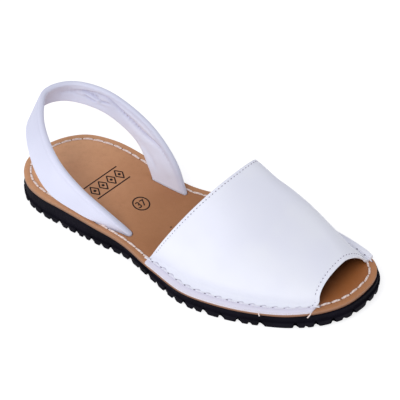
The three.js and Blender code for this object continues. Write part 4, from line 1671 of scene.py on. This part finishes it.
def buildTails():
    points, faces = [], []
    for item in threadTails:
        x = item["along"] * shoe["length"]
        _, share = outlineSide(x, -1, 0)
        top = float(insoleTop(x))
        keys = []
        for out, drop, lean in tail["hang"]:
            flat = outlineAt(share + lean * item["lean"] / outlineLength, np.array(float(out)))
            keys.append([*flat, top - drop * item["length"]])
        line = smoothCurve(keys, False)(np.linspace(0, 1, tail["steps"]))
        ring = tubePoints(line, tail["width"], tail["sides"])
        start = sum(len(p) for p in points)
        points.append(ring.reshape(-1, 3))
        faces += gridFaces(tail["steps"], tail["sides"], closed=True, start=start)
        last = start + (tail["steps"] - 1) * tail["sides"]
        faces += [[start + i for i in range(tail["sides"])][::-1], [last + i for i in range(tail["sides"])]]
    makePiece("threadTails", np.vstack(points), faces, materials["thread"], sharp=60)
    print("tails", len(threadTails))


printed = {
    "ringCentre": (88.2, -2.4),
    "ringRadius": 5.5,
    "lineWidth": 0.95,
    "textSize": 7.4,
    "textTurn": 69.0,
    "lift": 0.05,
    "ornamentFrom": (56.0, -12.0),
    "ornamentTo": (64.5, 17.0),
    "ruleAway": 6.5,
    "lozenges": 4,
    "lozengeShare": 0.40,
    "lozengeTall": 4.6,
    "dotRadius": 1.1,
}


# flat ribbon along a line on the insole's upper face
def inkRibbon(line, width, closed=False):
    line = np.asarray(line, float)
    if closed:
        step = np.roll(line, -1, axis=0) - np.roll(line, 1, axis=0)
    else:
        step = np.gradient(line, axis=0)
    side = unitVector(np.column_stack([-step[:, 1], step[:, 0]])) * width / 2
    rows = np.stack([line + side, line - side], 1)
    if closed:
        rows = np.concatenate([rows, rows[:1]])
    return rows.reshape(-1, 2), gridFaces(len(rows), 2)


def numberOutline(words, size, turn, centre):
    curve = bpy.data.curves.new("sizeNumber", "FONT")
    curve.body = words
    curve.size = size
    curve.align_x = "CENTER"
    curve.align_y = "CENTER"
    curve.offset = size * 0.012
    holder = bpy.data.objects.new("sizeNumber", curve)
    bpy.context.scene.collection.objects.link(holder)
    bpy.context.view_layer.update()
    mesh = bpy.data.meshes.new_from_object(holder.evaluated_get(bpy.context.evaluated_depsgraph_get()))
    flat = np.array([v.co[:2] for v in mesh.vertices])
    faces = [list(p.vertices) for p in mesh.polygons]
    bpy.data.objects.remove(holder)
    bpy.data.meshes.remove(mesh)
    flat -= (flat.max(0) + flat.min(0)) / 2
    angle = math.radians(turn)
    spin = np.array([[math.cos(angle), math.sin(angle)], [-math.sin(angle), math.cos(angle)]])
    return flat @ spin + np.asarray(centre), faces


def buildPrint():
    p = printed
    parts = []
    turn = np.linspace(0, 2 * math.pi, 72, endpoint=False)
    circle = np.column_stack([np.cos(turn), np.sin(turn)]) * p["ringRadius"] + np.asarray(p["ringCentre"])
    parts.append(inkRibbon(circle, p["lineWidth"], closed=True))
    parts.append(numberOutline("37", p["textSize"], p["textTurn"], p["ringCentre"]))
    # plain stamped border of lozenges and dots between two lines
    start, end = np.array(p["ornamentFrom"]), np.array(p["ornamentTo"])
    along = unitVector(end - start)
    across = np.array([-along[1], along[0]])
    length = np.linalg.norm(end - start)
    for away in (-p["ruleAway"], p["ruleAway"]):
        line = start + across * away + np.linspace(0, length, 30)[:, None] * along
        parts.append(inkRibbon(line, p["lineWidth"]))
    count = p["lozenges"]
    for index in range(count):
        centre = start + along * length * (index + 0.5) / count
        wide, tall = length / count * p["lozengeShare"], p["lozengeTall"]
        corners = [centre + along * wide, centre + across * tall]
        corners += [centre - along * wide, centre - across * tall]
        loop = np.vstack([lerp(a, b, np.linspace(0, 1, 8, endpoint=False)[:, None])
                          for a, b in zip(corners, corners[1:] + corners[:1])])
        parts.append(inkRibbon(loop, p["lineWidth"], closed=True))
        dot = centre + np.column_stack([np.cos(turn[::4]), np.sin(turn[::4])]) * p["dotRadius"]
        parts.append((dot, [list(range(len(dot)))]))
    points, faces = [], []
    for flat, shape in parts:
        start = sum(len(q) for q in points)
        z = insoleTop(flat[:, 0]) + p["lift"]
        points.append(np.column_stack([flat, z]))
        faces += [[start + corner for corner in face] for face in shape]
    piece = makePiece("inkPrint", np.vstack(points), faces, materials["ink"], solid=False)
    work = bmesh.new()
    work.from_mesh(piece.data)
    for face in work.faces:
        if face.normal.z < 0:
            face.normal_flip()
    work.to_mesh(piece.data)
    work.free()
    print("print", len(parts), "shapes")


buildRubber()
buildInsole()
vampFace = buildVamp()
buildStrap()
buildEdgeStitches(vampFace)
buildVampStitches(vampFace)
buildTails()
buildPrint()


view = {
    "turn": 25.82,
    "rise": 44.25,
    "place": (388.2, -533.8, 609.9),
    "lens": 116.84,
    "sensor": 36.0,
}


def addCamera():
    camera = bpy.data.cameras.new("camera")
    camera.lens = view["lens"]
    camera.sensor_width = view["sensor"]
    camera.clip_start = 0.01
    camera.clip_end = 20
    holder = bpy.data.objects.new("camera", camera)
    a, e = math.radians(view["turn"]), math.radians(view["rise"])
    back = Vector((math.sin(a) * math.cos(e), -math.cos(a) * math.cos(e), math.sin(e)))
    right = Vector((math.cos(a), math.sin(a), 0))
    up = back.cross(right)
    turned = Matrix((right, up, back)).transposed().to_4x4()
    turned.translation = Vector(toFrame(view["place"]))
    holder.matrix_world = turned
    bpy.context.scene.collection.objects.link(holder)
    bpy.context.scene.camera = holder


# places and sizes here are metres
studio = {
    "aim": (0, 0, 0.02),
    "floorSize": 12.0,
    "floorTones": ((0.48, 0.48, 0.49), (0.5, 0.5, 0.5)),
    "floorGlow": (0.995, 0.995, 1.0),
    "glowStrength": 0.74,
    "sky": (0.965, 0.968, 1.0),
    "skyStrength": 0.53,
}
lamps = {
    "key": {"place": (-0.1, -0.92, 1.04), "size": (0.8, 0.6), "power": 7.0, "tint": (0.975, 0.98, 1.0)},
    "top": {"place": (-0.7, 0.0, 1.1), "size": (0.5, 0.5), "power": 0.8, "tint": (1, 1, 1)},
}


def addLamp(name, place, size, power, tint):
    light = bpy.data.lights.new(name, "AREA")
    light.shape = "RECTANGLE"
    light.size, light.size_y = size
    light.energy = power
    light.color = tint
    holder = bpy.data.objects.new(name, light)
    holder.location = place
    holder.rotation_euler = (Vector(studio["aim"]) - Vector(place)).to_track_quat("-Z", "Y").to_euler()
    bpy.context.scene.collection.objects.link(holder)


def addStudio():
    size = studio["floorSize"]
    mesh = bpy.data.meshes.new("floor")
    corners = [(-size, -size, 0), (size, -size, 0), (size, size, 0), (-size, size, 0)]
    mesh.from_pydata(corners, [], [(0, 1, 2, 3)])
    look = Finish("paleFloor")
    grain = look.noise(6, 2)
    look.finish(
        Base_Color=look.mix(grain, *studio["floorTones"]),
        Roughness=0.9,
        Specular_IOR_Level=0.1,
        Emission_Color=studio["floorGlow"],
        Emission_Strength=studio["glowStrength"],
    )
    mesh.materials.append(look.material)
    floor = bpy.data.objects.new("floor", mesh)
    bpy.context.scene.collection.objects.link(floor)
    world = bpy.data.worlds.new("studio")
    world.use_nodes = True
    sky = world.node_tree.nodes["Background"].inputs
    sky["Color"].default_value = (*studio["sky"], 1)
    sky["Strength"].default_value = studio["skyStrength"]
    bpy.context.scene.world = world
    for name, lamp in lamps.items():
        addLamp(name, **lamp)
    bpy.context.scene.view_settings.view_transform = "Standard"
    bpy.context.scene.view_settings.look = "None"


addCamera()
addStudio()
